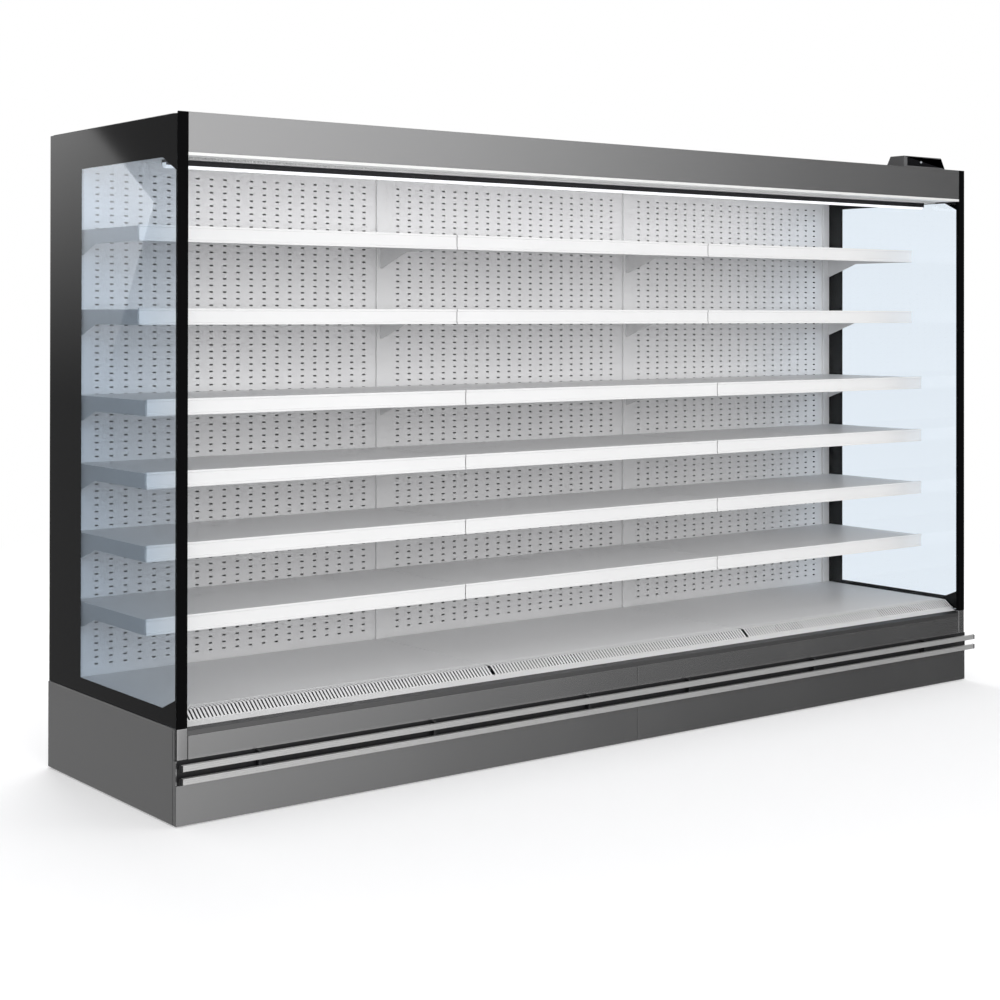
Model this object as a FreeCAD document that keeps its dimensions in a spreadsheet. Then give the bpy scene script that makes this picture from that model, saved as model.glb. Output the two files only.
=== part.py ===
import FreeCAD, Part

import math
import os

import Sketcher

# Open multideck display fridge of the remote-cooled kind: a foamed tub, rear wall and roof, glazed end walls,
# three modules of hook-on shelves, and the fans and cooling coil under the deck.
#
# Frame: +X along the cabinet to the right, +Y from the front to the back, +Z up.  The origin is on the floor
# in the middle of the whole outline.  Unless a comment says otherwise, a place below is measured from the
# cabinet's left face (x), from its front plane (y) and from the floor (z), in millimetres.

MODULES = 3
TIERS = 6
DEEP_TIERS = (3, 4, 5, 6)
FRONT_HALVES = 2
FOOT_COLUMNS = 4
FOOT_SIDES = 10
FAN_BLADES = 5
HUB_SIDES = 15
COLLAR_SIDES = 20
MOTOR_SIDES = 12
BLADE_BENDS = 3
GUARD_SECTORS = 6
GUARD_SIDES = 12
GRILLE_SLOTS = 24
OUTLET_SLOTS = 8
DRAIN_SIDES = 12
COIL_GROOVES = 24
SLOTS_PER_TIER = 2
MODULE_NAMES = ("left", "middle", "right")

SIZES = {
    # Whole cabinet
    "cabinet_length": 3830.0,
    "cabinet_depth": 960.0,
    "cabinet_height": 2226.0,
    "rear_step": 24.0,
    "seat_gap": 0.3,
    "sheet_wall": 2.0,
    # End walls
    "glass_inset": 4.0,
    "glass_thickness": 10.0,
    "profile_width": 36.0,
    "profile_depth": 45.0,
    "profile_lip": 6.0,
    "profile_rise": 6.0,
    # Base
    "base_height": 305.0,
    "floor_gap": 4.0,
    "skin_depth": 20.0,
    "fascia_drop": 24.0,
    "fascia_face": 74.0,
    "bumper_face": 77.0,
    "trim_width": 42.0,
    "nosing_face": 15.0,
    "nosing_edge": 18.0,
    "sill_rise": 9.0,
    "tub_bottom": 88.0,
    "tub_floor": 42.0,
    "tub_wall": 40.0,
    "tub_drop": 17.0,
    "foot_radius": 30.0,
    "foot_pad": 12.0,
    "foot_stem_radius": 8.0,
    "foot_inset": 140.0,
    "beam_bottom": 46.0,
    "beam_width": 40.0,
    "beam_setback": 50.0,
    # Bumper rails
    "rail_proud": 34.0,
    "rail_overhang": 25.0,
    "rail_depth": 14.0,
    "rail_height": 20.0,
    "rail_corner": 3.0,
    "rail_groove_height": 8.0,
    "rail_groove_depth": 6.0,
    "lower_rail_rise": 8.0,
    "upper_rail_rise": 49.0,
    "rail_cap": 8.0,
    "rail_bracket_width": 12.0,
    "rail_bracket_rise": 9.0,
    "rail_bracket_drop": 2.0,
    "bracket_place_inner": 250.0,
    "bracket_place_middle": 942.0,
    "bracket_place_outer": 1626.0,
    # Deck
    "front_support_height": 12.0,
    "support_step": 30.0,
    "support_step_place": 100.0,
    "grille_front": 52.0,
    "grille_foot": 14.0,
    "grille_angle": 38.0,
    "grille_shelf": 43.0,
    "grille_slot_margin": 3.0,
    "grille_slot_width": 34.0,
    "deck_gap": 4.0,
    "deck_rise": 12.0,
    # Rear duct
    "rear_wall_thickness": 60.0,
    "duct_depth": 122.0,
    "post_width": 40.0,
    "post_depth": 40.0,
    "panel_setback": 9.0,
    "panel_return": 14.0,
    "slot_width": 4.0,
    "slot_height": 20.0,
    "slot_pitch": 50.0,
    # Canopy
    "roof_thickness": 58.0,
    "roof_front": 50.0,
    "canopy_face": 126.0,
    "canopy_flange": 62.0,
    "soffit_drop": 136.0,
    "ceiling_drop": 95.0,
    "lip_rear": 60.0,
    "liner_front": 150.0,
    "liner_step": 300.0,
    "outlet_height": 20.0,
    "outlet_web": 12.0,
    "outlet_rim": 10.0,
    "lamp_setback": 26.0,
    "lamp_width": 34.0,
    "lamp_height": 18.0,
    "lamp_end": 60.0,
    "diffuser_drop": 9.0,
    # Shelves
    "zone_gap": 2.0,
    "shelf_gap": 4.0,
    "shelf_front_short": 280.0,
    "shelf_front_deep": 225.0,
    "shelf_top_1": 1885.0,
    "shelf_top_2": 1613.0,
    "shelf_top_3": 1320.0,
    "shelf_top_4": 1086.0,
    "shelf_top_5": 852.0,
    "shelf_top_6": 617.0,
    "price_rail_height": 54.0,
    "price_rail_depth": 12.0,
    "price_rail_lip": 12.0,
    "pan_drop": 4.0,
    "pan_lip": 32.0,
    "pan_rear_gap": 14.0,
    "bracket_thickness": 3.0,
    "bracket_front_height": 50.0,
    "bracket_rear_height": 110.0,
    "bracket_knee": 170.0,
    "bracket_back_gap": 0.2,
    "hook_drop": 30.0,
    "hook_play": 0.5,
    "hook_seat_radius": 1.2,
    "hook_height": 14.0,
    "hook_reach": 3.0,
    "hook_finger": 6.0,
    "hook_finger_drop": 9.0,
    "tab_reach": 8.0,
    "hook_relief": 12.0,
    # Fans and coil
    "fan_place": 400.0,
    "fan_tilt": 38.0,
    "fan_plate_half": 124.0,
    "fan_plate_end_gap": 46.0,
    "fan_radius": 76.0,
    "fan_tip_gap": 4.0,
    "fan_collar_wall": 2.0,
    "fan_collar_depth": 34.0,
    "fan_hub_radius": 26.0,
    "fan_hub_top": 6.0,
    "fan_hub_height": 24.0,
    "blade_thickness": 2.0,
    "blade_chord": 36.0,
    "blade_camber": 3.0,
    "blade_pitch": 30.0,
    "shaft_radius": 4.0,
    "shaft_play": 0.06,
    "guard_radius": 94.0,
    "guard_thickness": 3.0,
    "guard_hub_radius": 33.0,
    "guard_ring_inner": 54.0,
    "guard_ring_outer": 59.0,
    "guard_open_radius": 80.0,
    "guard_rib": 7.0,
    "motor_radius": 30.0,
    "motor_height": 46.0,
    "coil_rear_gap": 50.0,
    "coil_front_gap": 62.0,
    "coil_top_gap": 12.0,
    "coil_end_gap": 90.0,
    "coil_plate": 3.0,
    "coil_plate_rise": 8.0,
    "coil_groove_width": 60.0,
    "coil_groove_depth": 50.0,
    "drain_radius": 20.0,
    "drain_bore": 17.0,
    "drain_place": 300.0,
    "drain_flange": 38.0,
    "drain_flange_height": 6.0,
    "drain_end": 34.0,
    # Controller
    "controller_right_gap": 125.0,
    "controller_length": 270.0,
    "controller_depth": 100.0,
    "controller_top_depth": 75.0,
    "controller_height": 47.0,
    "controller_slope": 26.0,
    "controller_front": 8.0,
    "window_margin": 22.0,
    "window_length": 222.0,
    "window_height": 35.0,
    "window_thickness": 3.0,
    "window_sill": 6.0,
}


class Size:
    """A number together with the sheet expression that it comes from."""

    def __init__(self, value, text):
        self.value = value
        self.text = text

    def __add__(self, other):
        other = as_size(other)
        return Size(self.value + other.value, f"({self.text} + {other.text})")

    def __radd__(self, other):
        return as_size(other) + self

    def __sub__(self, other):
        other = as_size(other)
        return Size(self.value - other.value, f"({self.text} - {other.text})")

    def __rsub__(self, other):
        return as_size(other) - self

    def __mul__(self, other):
        other = as_size(other)
        return Size(self.value * other.value, f"({self.text} * {other.text})")

    def __rmul__(self, other):
        return as_size(other) * self

    def __truediv__(self, other):
        other = as_size(other)
        return Size(self.value / other.value, f"({self.text} / {other.text})")

    def __neg__(self):
        return as_size(0) - self


def as_size(number):
    return number if isinstance(number, Size) else Size(float(number), str(number))


def sine(angle):
    return Size(math.sin(math.radians(angle.value)), f"sin({angle.text})")


def cosine(angle):
    return Size(math.cos(math.radians(angle.value)), f"cos({angle.text})")


def tangent(angle):
    return Size(math.tan(math.radians(angle.value)), f"tan({angle.text})")


doc = FreeCAD.newDocument("multideck_fridge")
sheet = doc.addObject("Spreadsheet::Sheet", "sizes")
for row, (alias, value) in enumerate(SIZES.items(), start=1):
    sheet.set(f"A{row}", alias)
    sheet.set(f"B{row}", str(value))
    sheet.setAlias(f"B{row}", alias)
doc.recompute()


def size(alias):
    return Size(SIZES[alias], f"sizes.{alias}")


length = size("cabinet_length")
depth = size("cabinet_depth")
height = size("cabinet_height")
wall = size("sheet_wall")
seat = size("seat_gap")

# The origin lies in the middle of the outline, which the bumper rails widen in front and at the right end.
LEFT = -(length + size("rail_overhang")) / 2
FRONT = size("rail_proud") - (depth + size("rear_step") + size("rail_proud")) / 2

nodes = []


def bind(thing, name, amount):
    thing.setExpression(name, as_size(amount).text)


def place(thing, x, y, z):
    """Puts a piece's own origin at a place given from the left face, the front plane and the floor."""
    put(thing, LEFT + x, FRONT + y, z)


def put(thing, x, y, z):
    """Puts a piece's own origin at a place in the frame that holds it."""
    x, y, z = as_size(x), as_size(y), as_size(z)
    thing.Placement.Base = FreeCAD.Vector(x.value, y.value, z.value)
    bind(thing, "Placement.Base.x", x)
    bind(thing, "Placement.Base.y", y)
    bind(thing, "Placement.Base.z", z)


def keep(thing, label):
    """Counts a piece as a node of the finished model."""
    thing.Label = label
    nodes.append(thing)
    return thing


def box(name, corner, extent, settle=place):
    """A rectangular block from its lowest corner and its three extents."""
    block = doc.addObject("Part::Box", name)
    for side, amount in zip(("Length", "Width", "Height"), extent):
        bind(block, side, amount)
    settle(block, *corner)
    return block


def cylinder(name, centre, radius, tall, settle=place):
    rod = doc.addObject("Part::Cylinder", name)
    bind(rod, "Radius", radius)
    bind(rod, "Height", tall)
    settle(rod, *centre)
    return rod


def prism(name, centre, sides, radius, tall, settle=place):
    """A bar with a regular outline, its corners at the given radius."""
    bar = doc.addObject("Part::Prism", name)
    bar.Polygon = sides
    bind(bar, "Circumradius", radius)
    bind(bar, "Height", tall)
    settle(bar, *centre)
    return bar


def cut(name, base, tool):
    result = doc.addObject("Part::Cut", name)
    result.Base = base
    result.Tool = tool
    return result


def fuse(name, pieces):
    result = doc.addObject("Part::MultiFuse", name)
    result.Shapes = pieces
    return result


def group(name, pieces):
    """Separate solids that share a node."""
    result = doc.addObject("Part::Compound", name)
    result.Links = pieces
    return result


def origin_part(body, role):
    return next(part for part in body.Origin.OriginFeatures if part.Role == role)


def draw(body, plane, name, loops, offset=None):
    """A sketch of closed outlines, each corner held at its two distances from the sketch's origin."""
    sketch = body.newObject("Sketcher::SketchObject", name)
    sketch.AttachmentSupport = [(origin_part(body, plane), "")]
    sketch.MapMode = "FlatFace"
    if offset is not None:
        sketch.AttachmentOffset.Base.z = offset.value
        bind(sketch, "AttachmentOffset.Base.z", offset)
    for loop in loops:
        draw_loop(sketch, [(as_size(u), as_size(v)) for u, v in loop])
    return sketch


def draw_loop(sketch, loop):
    first = sketch.GeometryCount
    ends = loop[1:] + loop[:1]
    for (u, v), (next_u, next_v) in zip(loop, ends):
        start = FreeCAD.Vector(u.value, v.value, 0)
        end = FreeCAD.Vector(next_u.value, next_v.value, 0)
        sketch.addGeometry(Part.LineSegment(start, end), False)
    for index in range(len(loop)):
        after = first + (index + 1) % len(loop)
        sketch.addConstraint(Sketcher.Constraint("Coincident", first + index, 2, after, 1))
    for index, corner in enumerate(loop):
        for kind, amount in zip(("DistanceX", "DistanceY"), corner):
            hold_corner(sketch, kind, first + index, amount)


def hold_corner(sketch, kind, line, amount):
    """Holds a line's start at a signed distance from the origin, as a positive measure either way."""
    if amount.value < 0:
        measure = Sketcher.Constraint(kind, line, 1, -1, 1, -amount.value)
        amount = -amount
    else:
        measure = Sketcher.Constraint(kind, -1, 1, line, 1, amount.value)
    index = sketch.addConstraint(measure)
    bind(sketch, f"Constraints[{index}]", amount)


def pad(name, plane, loops, tall, backward=False):
    """A body made of one padded sketch, which rises from its plane by the given height."""
    body = doc.addObject("PartDesign::Body", name)
    sketch = draw(body, plane, f"{name}_outline", loops)
    feature = body.newObject("PartDesign::Pad", f"{name}_pad")
    feature.Profile = sketch
    feature.Reversed = backward
    bind(feature, "Length", tall)
    return body


def pocket(body, name, plane, loops):
    """Cuts outlines right through a body, to both sides of their plane."""
    feature = body.newObject("PartDesign::Pocket", name)
    feature.Profile = draw(body, plane, f"{name}_outline", loops)
    feature.Type = "ThroughAll"
    feature.Midplane = True
    return feature


def repeat_along(body, feature, name, count, spread):
    """Repeats a feature along the body's X axis, the last copy at the given distance."""
    row = body.newObject("PartDesign::LinearPattern", name)
    row.Originals = [feature]
    row.Direction = (origin_part(body, "X_Axis"), [""])
    row.Occurrences = count
    bind(row, "Length", spread)
    body.Tip = row
    return row


def repeat_around(body, feature, name, count):
    """Repeats a feature in a full circle about the body's Z axis."""
    ring = body.newObject("PartDesign::PolarPattern", name)
    ring.Originals = [feature]
    ring.Axis = (origin_part(body, "Z_Axis"), [""])
    ring.Angle = 360
    ring.Occurrences = count
    body.Tip = ring
    return ring


def section(name, points, x_start, x_end):
    """A profile across the cabinet, y from the front plane and z from the floor, run along its length."""
    body = pad(name, "YZ_Plane", [points], x_end - x_start)
    place(body, x_start, 0, 0)
    return body


def rectangle(u_low, v_low, u_high, v_high):
    return [(u_low, v_low), (u_high, v_low), (u_high, v_high), (u_low, v_high)]


def tray(name, corner, extent, hollow_corner, hollow_extent, settle=place):
    """A folded sheet: a block with one open side, given by the block and the hollow inside it."""
    outer = box(f"{name}_outer", corner, extent, settle)
    hollow = box(f"{name}_hollow", hollow_corner, hollow_extent, settle)
    return cut(name, outer, hollow)


# ---------------------------------------------------------------------------------------------------------
# Places that several pieces share
# ---------------------------------------------------------------------------------------------------------

inner_left = size("glass_inset") + size("glass_thickness")
inner_right = length - inner_left
zone_left = inner_left + size("zone_gap")
module_pitch = (length - 2 * zone_left) / MODULES
module_width = module_pitch - size("shelf_gap")
skin = size("skin_depth")
base_top = size("base_height")
fascia_top = base_top - size("fascia_drop")
bumper_top = fascia_top - size("fascia_face")
kick_top = bumper_top - size("bumper_face")
tub_top = base_top - size("tub_drop")
grille_level = tub_top + size("front_support_height")
deck_level = grille_level + size("support_step")
tub_inner_floor = size("tub_bottom") + size("tub_floor")
duct_rear = depth - size("rear_wall_thickness")
post_front = duct_rear - size("duct_depth")
post_width = size("post_width")
panel_front = post_front + size("panel_setback")
ceiling = height - size("ceiling_drop")
soffit = height - size("soffit_drop")
roof_top = height - wall
roof_bottom = roof_top - size("roof_thickness")
front_left = size("glass_inset") + size("profile_width")
trim = size("trim_width")


def module_left(index):
    return zone_left + module_pitch * index + size("shelf_gap") / 2


def shelf_top(tier):
    return size(f"shelf_top_{tier}")


# ---------------------------------------------------------------------------------------------------------
# Base: feet, beams, foamed tub, drain, covers
# ---------------------------------------------------------------------------------------------------------

beam_left = size("foot_inset") / 2
front_beam = size("beam_setback")
rear_beam = depth - size("beam_setback") - size("beam_width")

beams = [
    box(
        f"base_beam_{side}",
        (beam_left, start, size("beam_bottom")),
        (length - 2 * beam_left, size("beam_width"), size("tub_bottom") - size("beam_bottom")),
    )
    for side, start in (("front", front_beam), ("rear", rear_beam))
]
keep(group("base_beams_group", beams), "base_beams")


def foot(name, x, y):
    """A levelling foot: a many-sided pad under a hexagonal screw that turns up against its beam."""
    base_pad = prism(f"{name}_pad", (x, y, 0), FOOT_SIDES, size("foot_radius"), size("foot_pad"))
    stem_height = size("beam_bottom") - size("foot_pad")
    stem = prism(f"{name}_stem", (x, y, size("foot_pad")), 6, size("foot_stem_radius"), stem_height)
    return fuse(name, [base_pad, stem])


feet = []
for column in range(FOOT_COLUMNS):
    foot_x = size("foot_inset") + (length - 2 * size("foot_inset")) * column / (FOOT_COLUMNS - 1)
    for side, start in (("front", front_beam), ("rear", rear_beam)):
        feet.append(foot(f"foot_{side}_{column}", foot_x, start + size("beam_width") / 2))
keep(group("levelling_feet_group", feet), "levelling_feet")

tub_outer = box(
    "tub_outer",
    (inner_left, skin, size("tub_bottom")),
    (inner_right - inner_left, depth + size("rear_step") - skin, tub_top - size("tub_bottom")),
)
tub_hollow = box(
    "tub_hollow",
    (inner_left + size("tub_wall"), skin + size("tub_wall"), tub_inner_floor),
    (
        inner_right - inner_left - 2 * size("tub_wall"),
        duct_rear - skin - size("tub_wall"),
        tub_top - tub_inner_floor,
    ),
)
drain_hole = cylinder(
    "drain_hole",
    (length / 2, size("drain_place"), size("tub_bottom")),
    size("drain_radius") + seat,
    size("tub_floor"),
)
keep(cut("tub_body", tub_outer, group("tub_cuts", [tub_hollow, drain_hole])), "base_tub")

# The drain spout hangs through the tub's floor on a square flange under it.
drain_spout = cylinder(
    "drain_spout",
    (length / 2, size("drain_place"), size("drain_end")),
    size("drain_radius"),
    tub_inner_floor - size("drain_end"),
)
drain_collar = box(
    "drain_collar",
    (
        length / 2 - size("drain_flange"),
        size("drain_place") - size("drain_flange"),
        size("tub_bottom") - size("drain_flange_height"),
    ),
    (2 * size("drain_flange"), 2 * size("drain_flange"), size("drain_flange_height")),
)
drain_way = prism(
    "drain_way",
    (length / 2, size("drain_place"), size("drain_end")),
    DRAIN_SIDES,
    size("drain_bore"),
    tub_inner_floor - size("drain_end"),
)
keep(cut("drain_body", fuse("drain_outside", [drain_spout, drain_collar]), drain_way), "drain_outlet")

side_covers = [
    box(
        f"base_side_cover_{side}",
        (start, skin, size("floor_gap")),
        (inner_left, depth - skin, base_top - size("floor_gap")),
    )
    for side, start in (("left", 0), ("right", inner_right))
]
keep(group("base_side_covers_group", side_covers), "base_side_covers")

half_length = length / FRONT_HALVES
fascia_seam = wall / 2
for half, side in enumerate(MODULE_NAMES[::2]):
    start = half_length * half
    keep(
        tray(
            f"kick_plate_{side}_body",
            (start + fascia_seam, 0, size("floor_gap")),
            (half_length - wall, skin - seat, kick_top - seat - size("floor_gap")),
            (start + fascia_seam + wall, wall, size("floor_gap") + wall),
            (half_length - 3 * wall, skin, kick_top - seat - size("floor_gap") - 2 * wall),
        ),
        f"kick_plate_{side}",
    )

fascia_halves = []
fascia_span = half_length - trim
for half, side in enumerate(MODULE_NAMES[::2]):
    start = trim + fascia_span * half
    fascia_halves.append(
        tray(
            f"front_fascia_{side}",
            (start + fascia_seam, 0, bumper_top),
            (fascia_span - wall, skin - seat, fascia_top - bumper_top),
            (start + fascia_seam + wall, wall, bumper_top + wall),
            (fascia_span - 3 * wall, skin, fascia_top - bumper_top - 2 * wall),
        )
    )
keep(group("front_fascia_group", fascia_halves), "front_fascia")

# The nosing leans back from the front face to the base's height, and a sill behind it rises to the grilles.
nosing_front_top = fascia_top + size("nosing_face")
nosing_rear = size("grille_front") - wall
nosing = section(
    "nosing_body",
    [
        (0, fascia_top),
        (0, nosing_front_top),
        (size("nosing_edge"), base_top),
        (nosing_rear, base_top + size("sill_rise")),
        (nosing_rear, tub_top),
        (skin, tub_top),
        (skin, fascia_top),
    ],
    trim,
    length - trim,
)
keep(nosing, "nosing_trim")

trim_chamfer = size("profile_lip")
trim_caps = []
for side, start, tip in (("left", 0, 0), ("right", length - trim, trim)):
    inward = trim - tip
    chamfered = trim_chamfer if side == "left" else trim - trim_chamfer
    cap = pad(
        f"end_trim_{side}",
        "XY_Plane",
        [[(tip, trim_chamfer), (chamfered, 0), (inward, 0), (inward, skin), (tip, skin)]],
        base_top - bumper_top,
    )
    place(cap, start, 0, bumper_top)
    trim_caps.append(cap)
keep(group("end_trim_group", trim_caps), "end_trims")

# ---------------------------------------------------------------------------------------------------------
# Bumper: dark backing, brackets, two aluminium rails with end caps
# ---------------------------------------------------------------------------------------------------------

backing = box(
    "bumper_backing_block",
    (0, 0, kick_top),
    (length, skin, bumper_top - kick_top),
)
keep(backing, "bumper_backing")

rail_front = -size("rail_proud")
rail_back = rail_front + size("rail_depth")
bracket_bottom = kick_top + size("rail_bracket_rise")
bracket_top = bumper_top - size("rail_bracket_drop")

bracket_blocks = []
for side, sign in (("left", -1), ("right", 1)):
    for spot in ("inner", "middle", "outer"):
        centre = length / 2 + size(f"bracket_place_{spot}") * sign
        bracket_blocks.append(
            box(
                f"rail_bracket_{side}_{spot}",
                (centre - size("rail_bracket_width") / 2, rail_back, bracket_bottom),
                (size("rail_bracket_width"), -rail_back, bracket_top - bracket_bottom),
            )
        )
keep(group("bumper_brackets_group", bracket_blocks), "bumper_brackets")


def rail_profile(bottom):
    """A bar with eased front corners and a fixing groove along its back."""
    corner = size("rail_corner")
    top = bottom + size("rail_height")
    middle = bottom + size("rail_height") / 2
    groove = size("rail_groove_height") / 2
    groove_floor = rail_back - size("rail_groove_depth")
    return [
        (rail_front + corner, bottom),
        (rail_front, bottom + corner),
        (rail_front, top - corner),
        (rail_front + corner, top),
        (rail_back, top),
        (rail_back, middle + groove),
        (groove_floor, middle + groove),
        (groove_floor, middle - groove),
        (rail_back, middle - groove),
        (rail_back, bottom),
    ]


rails = []
rail_caps = []
rail_end = length + size("rail_overhang")
for level in ("lower", "upper"):
    bottom = kick_top + size(f"{level}_rail_rise")
    rail_right = rail_end - size("rail_cap")
    rails.append(section(f"{level}_rail_body", rail_profile(bottom), size("rail_cap"), rail_right))
    for side, start in (("left", 0), ("right", rail_end - size("rail_cap"))):
        rail_caps.append(
            box(
                f"rail_cap_{level}_{side}",
                (start, rail_front, bottom),
                (size("rail_cap"), size("rail_depth"), size("rail_height")),
            )
        )
keep(group("bumper_rails_group", rails), "bumper_rails")
keep(group("rail_caps_group", rail_caps), "rail_end_caps")

# ---------------------------------------------------------------------------------------------------------
# Deck: supports, return-air grilles, lift-out pans
# ---------------------------------------------------------------------------------------------------------

post_places = [inner_left]
for seam in range(1, MODULES):
    post_places.append(zone_left + module_pitch * seam - post_width / 2)
post_places.append(inner_right - post_width)

# Each support steps up behind the grilles, so that the deck lies higher than the nosing.
supports = [
    section(
        f"deck_support_{index}",
        [
            (nosing_rear, tub_top),
            (nosing_rear, grille_level),
            (size("support_step_place"), grille_level),
            (size("support_step_place"), deck_level),
            (duct_rear, deck_level),
            (duct_rear, tub_top),
        ],
        start,
        start + post_width,
    )
    for index, start in enumerate(post_places)
]
keep(group("deck_supports_group", supports), "deck_supports")

# The return-air grille: a folded sheet that rises from a short foot in a slotted slope to the deck's height,
# and folds down again onto the supports.  Drawn from its front foot.
grille_top = deck_level + size("deck_rise") - grille_level - seat
grille_foot = size("grille_foot")
slope_angle = size("grille_angle")
slope_run = (grille_top - grille_foot) / tangent(slope_angle)
grille_depth = slope_run + size("grille_shelf")
foot_inner = grille_foot - wall * tangent((90 - slope_angle) / 2)
slope_inner = slope_run + wall * tangent(slope_angle / 2)
heel = deck_level - grille_level
grille_outline = [
    (0, 0),
    (0, grille_foot),
    (slope_run, grille_top),
    (grille_depth, grille_top),
    (grille_depth, heel),
    (grille_depth - wall, heel),
    (grille_depth - wall, grille_top - wall),
    (slope_inner, grille_top - wall),
    (wall, foot_inner),
    (wall, 0),
]
slot_step = module_width / GRILLE_SLOTS
slot_margin = size("grille_slot_margin")
slot_left = (slot_step - size("grille_slot_width")) / 2
slot = rectangle(slot_left, slot_margin, slot_left + size("grille_slot_width"), slope_run - slot_margin)
for index, module in enumerate(MODULE_NAMES):
    grille = pad(f"return_grille_{module}_body", "YZ_Plane", [grille_outline], module_width)
    slots = pocket(grille, f"grille_slots_{module}", "XY_Plane", [slot])
    repeat_along(grille, slots, f"grille_slot_row_{module}", GRILLE_SLOTS, slot_step * (GRILLE_SLOTS - 1))
    place(grille, module_left(index), size("grille_front"), grille_level + seat)
    keep(grille, f"return_grille_{module}")

deck_front = size("grille_front") + grille_depth + size("deck_gap")
deck_depth = post_front - wall - deck_front
for index, module in enumerate(MODULE_NAMES):
    tall = size("deck_rise") - seat
    keep(
        tray(
            f"deck_pan_{module}_body",
            (module_left(index), deck_front, deck_level + seat),
            (module_width, deck_depth, tall),
            (module_left(index) + wall, deck_front + wall, deck_level + seat),
            (module_width - 2 * wall, deck_depth - 2 * wall, tall - wall),
        ),
        f"deck_pan_{module}",
    )

# ---------------------------------------------------------------------------------------------------------
# Rear duct: insulated wall, slotted posts, panels between the posts
# ---------------------------------------------------------------------------------------------------------

rear_wall = box(
    "rear_wall_block",
    (inner_left, duct_rear, tub_top),
    (inner_right - inner_left, size("rear_wall_thickness"), roof_bottom - tub_top),
)
keep(rear_wall, "rear_wall")


def post_channel(name):
    """A channel that is open to the back, from the deck supports up to the ceiling."""
    inside = post_width - wall
    rear = size("post_depth")
    outline = [
        (0, 0),
        (post_width, 0),
        (post_width, rear),
        (inside, rear),
        (inside, wall),
        (wall, wall),
        (wall, rear),
        (0, rear),
    ]
    return pad(name, "XY_Plane", [outline], ceiling - deck_level)


def hook_columns(index):
    """The slot columns of a post, one for each bracket that hangs on it."""
    columns = []
    half = size("bracket_thickness") / 2
    if index > 0:
        columns.append(module_left(index - 1) + module_width - half)
    if index < MODULES:
        columns.append(module_left(index) + half)
    return columns


posts = []
for index, start in enumerate(post_places):
    channel = post_channel(f"post_channel_{index}")
    place(channel, start, post_front, deck_level)
    slot_blocks = []
    for column, centre in enumerate(hook_columns(index)):
        for tier in range(1, TIERS + 1):
            for step in range(SLOTS_PER_TIER):
                slot_bottom = shelf_top(tier) - size("hook_drop") - size("slot_pitch") * step
                slot_blocks.append(
                    box(
                        f"post_slot_{index}_{column}_{tier}_{step}",
                        (centre - size("slot_width") / 2, post_front - wall, slot_bottom),
                        (size("slot_width"), 3 * wall, size("slot_height")),
                    )
                )
    posts.append(cut(f"wall_post_{index}", channel, group(f"post_slots_{index}", slot_blocks)))
keep(group("wall_posts_group", posts), "wall_posts")

panels = []
for index, module in enumerate(MODULE_NAMES):
    start = post_places[index] + post_width
    span = post_places[index + 1] - start
    fold = size("panel_return")
    panel = tray(
        f"back_panel_{module}",
        (start, panel_front, deck_level),
        (span, fold, ceiling - deck_level),
        (start + wall, panel_front + wall, deck_level),
        (span - 2 * wall, fold, ceiling - deck_level),
    )
    panels.append(panel)
keep(group("back_panels_group", panels), "back_panels")

# ---------------------------------------------------------------------------------------------------------
# Canopy: roof, front face, lip, air outlet, ceiling liner, lamp
# ---------------------------------------------------------------------------------------------------------

roof = box(
    "roof_block",
    (inner_left, size("roof_front"), roof_bottom),
    (inner_right - inner_left, depth - size("roof_front"), size("roof_thickness")),
)
keep(roof, "roof_panel")

canopy_bottom = height - size("canopy_face")
canopy = section(
    "canopy_face_body",
    [
        (0, canopy_bottom),
        (0, height),
        (size("canopy_flange"), height),
        (size("canopy_flange"), roof_top),
        (wall, roof_top),
        (wall, canopy_bottom),
    ],
    front_left,
    length - front_left,
)
keep(canopy, "canopy_fascia")

lip_rear = size("lip_rear")
outlet_top = soffit + wall + size("outlet_height")
lip = section(
    "canopy_lip_body",
    [
        (0, soffit),
        (0, canopy_bottom),
        (wall, canopy_bottom),
        (wall, canopy_bottom + skin),
        (2 * wall, canopy_bottom + skin),
        (2 * wall, soffit + wall),
        (lip_rear, soffit + wall),
        (lip_rear, outlet_top),
        (lip_rear + wall, outlet_top),
        (lip_rear + wall, soffit),
    ],
    front_left,
    length - front_left,
)
keep(lip, "canopy_lip")

liner_front = size("liner_front")
liner_step = size("liner_step")
liner = section(
    "ceiling_liner_body",
    [
        (liner_front, soffit),
        (liner_front, roof_bottom),
        (liner_front + wall, roof_bottom),
        (liner_front + wall, soffit + wall),
        (liner_step, soffit + wall),
        (liner_step, ceiling + wall),
        (panel_front + wall, ceiling + wall),
        (panel_front + wall, ceiling),
        (liner_step + wall, ceiling),
        (liner_step + wall, soffit),
    ],
    inner_left,
    inner_right,
)
keep(liner, "ceiling_liner")

outlet_front = lip_rear + wall
outlet_depth = liner_front - outlet_front
outlet_span = (length - 2 * front_left) / MODULES
outlets = []
for index, module in enumerate(MODULE_NAMES):
    rim = size("outlet_rim")
    frame = pad(
        f"air_outlet_{module}",
        "XY_Plane",
        [rectangle(0, 0, outlet_span, outlet_depth)],
        size("outlet_height"),
    )
    step = (outlet_span - 2 * rim) / OUTLET_SLOTS
    opening = rectangle(rim, rim, rim + step - size("outlet_web"), outlet_depth - rim)
    cells = pocket(frame, f"outlet_cells_{module}", "XY_Plane", [opening])
    repeat_along(frame, cells, f"outlet_cell_row_{module}", OUTLET_SLOTS, step * (OUTLET_SLOTS - 1))
    place(frame, front_left + outlet_span * index, outlet_front, soffit + wall)
    outlets.append(frame)
keep(group("air_outlet_group", outlets), "air_outlet")

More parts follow.
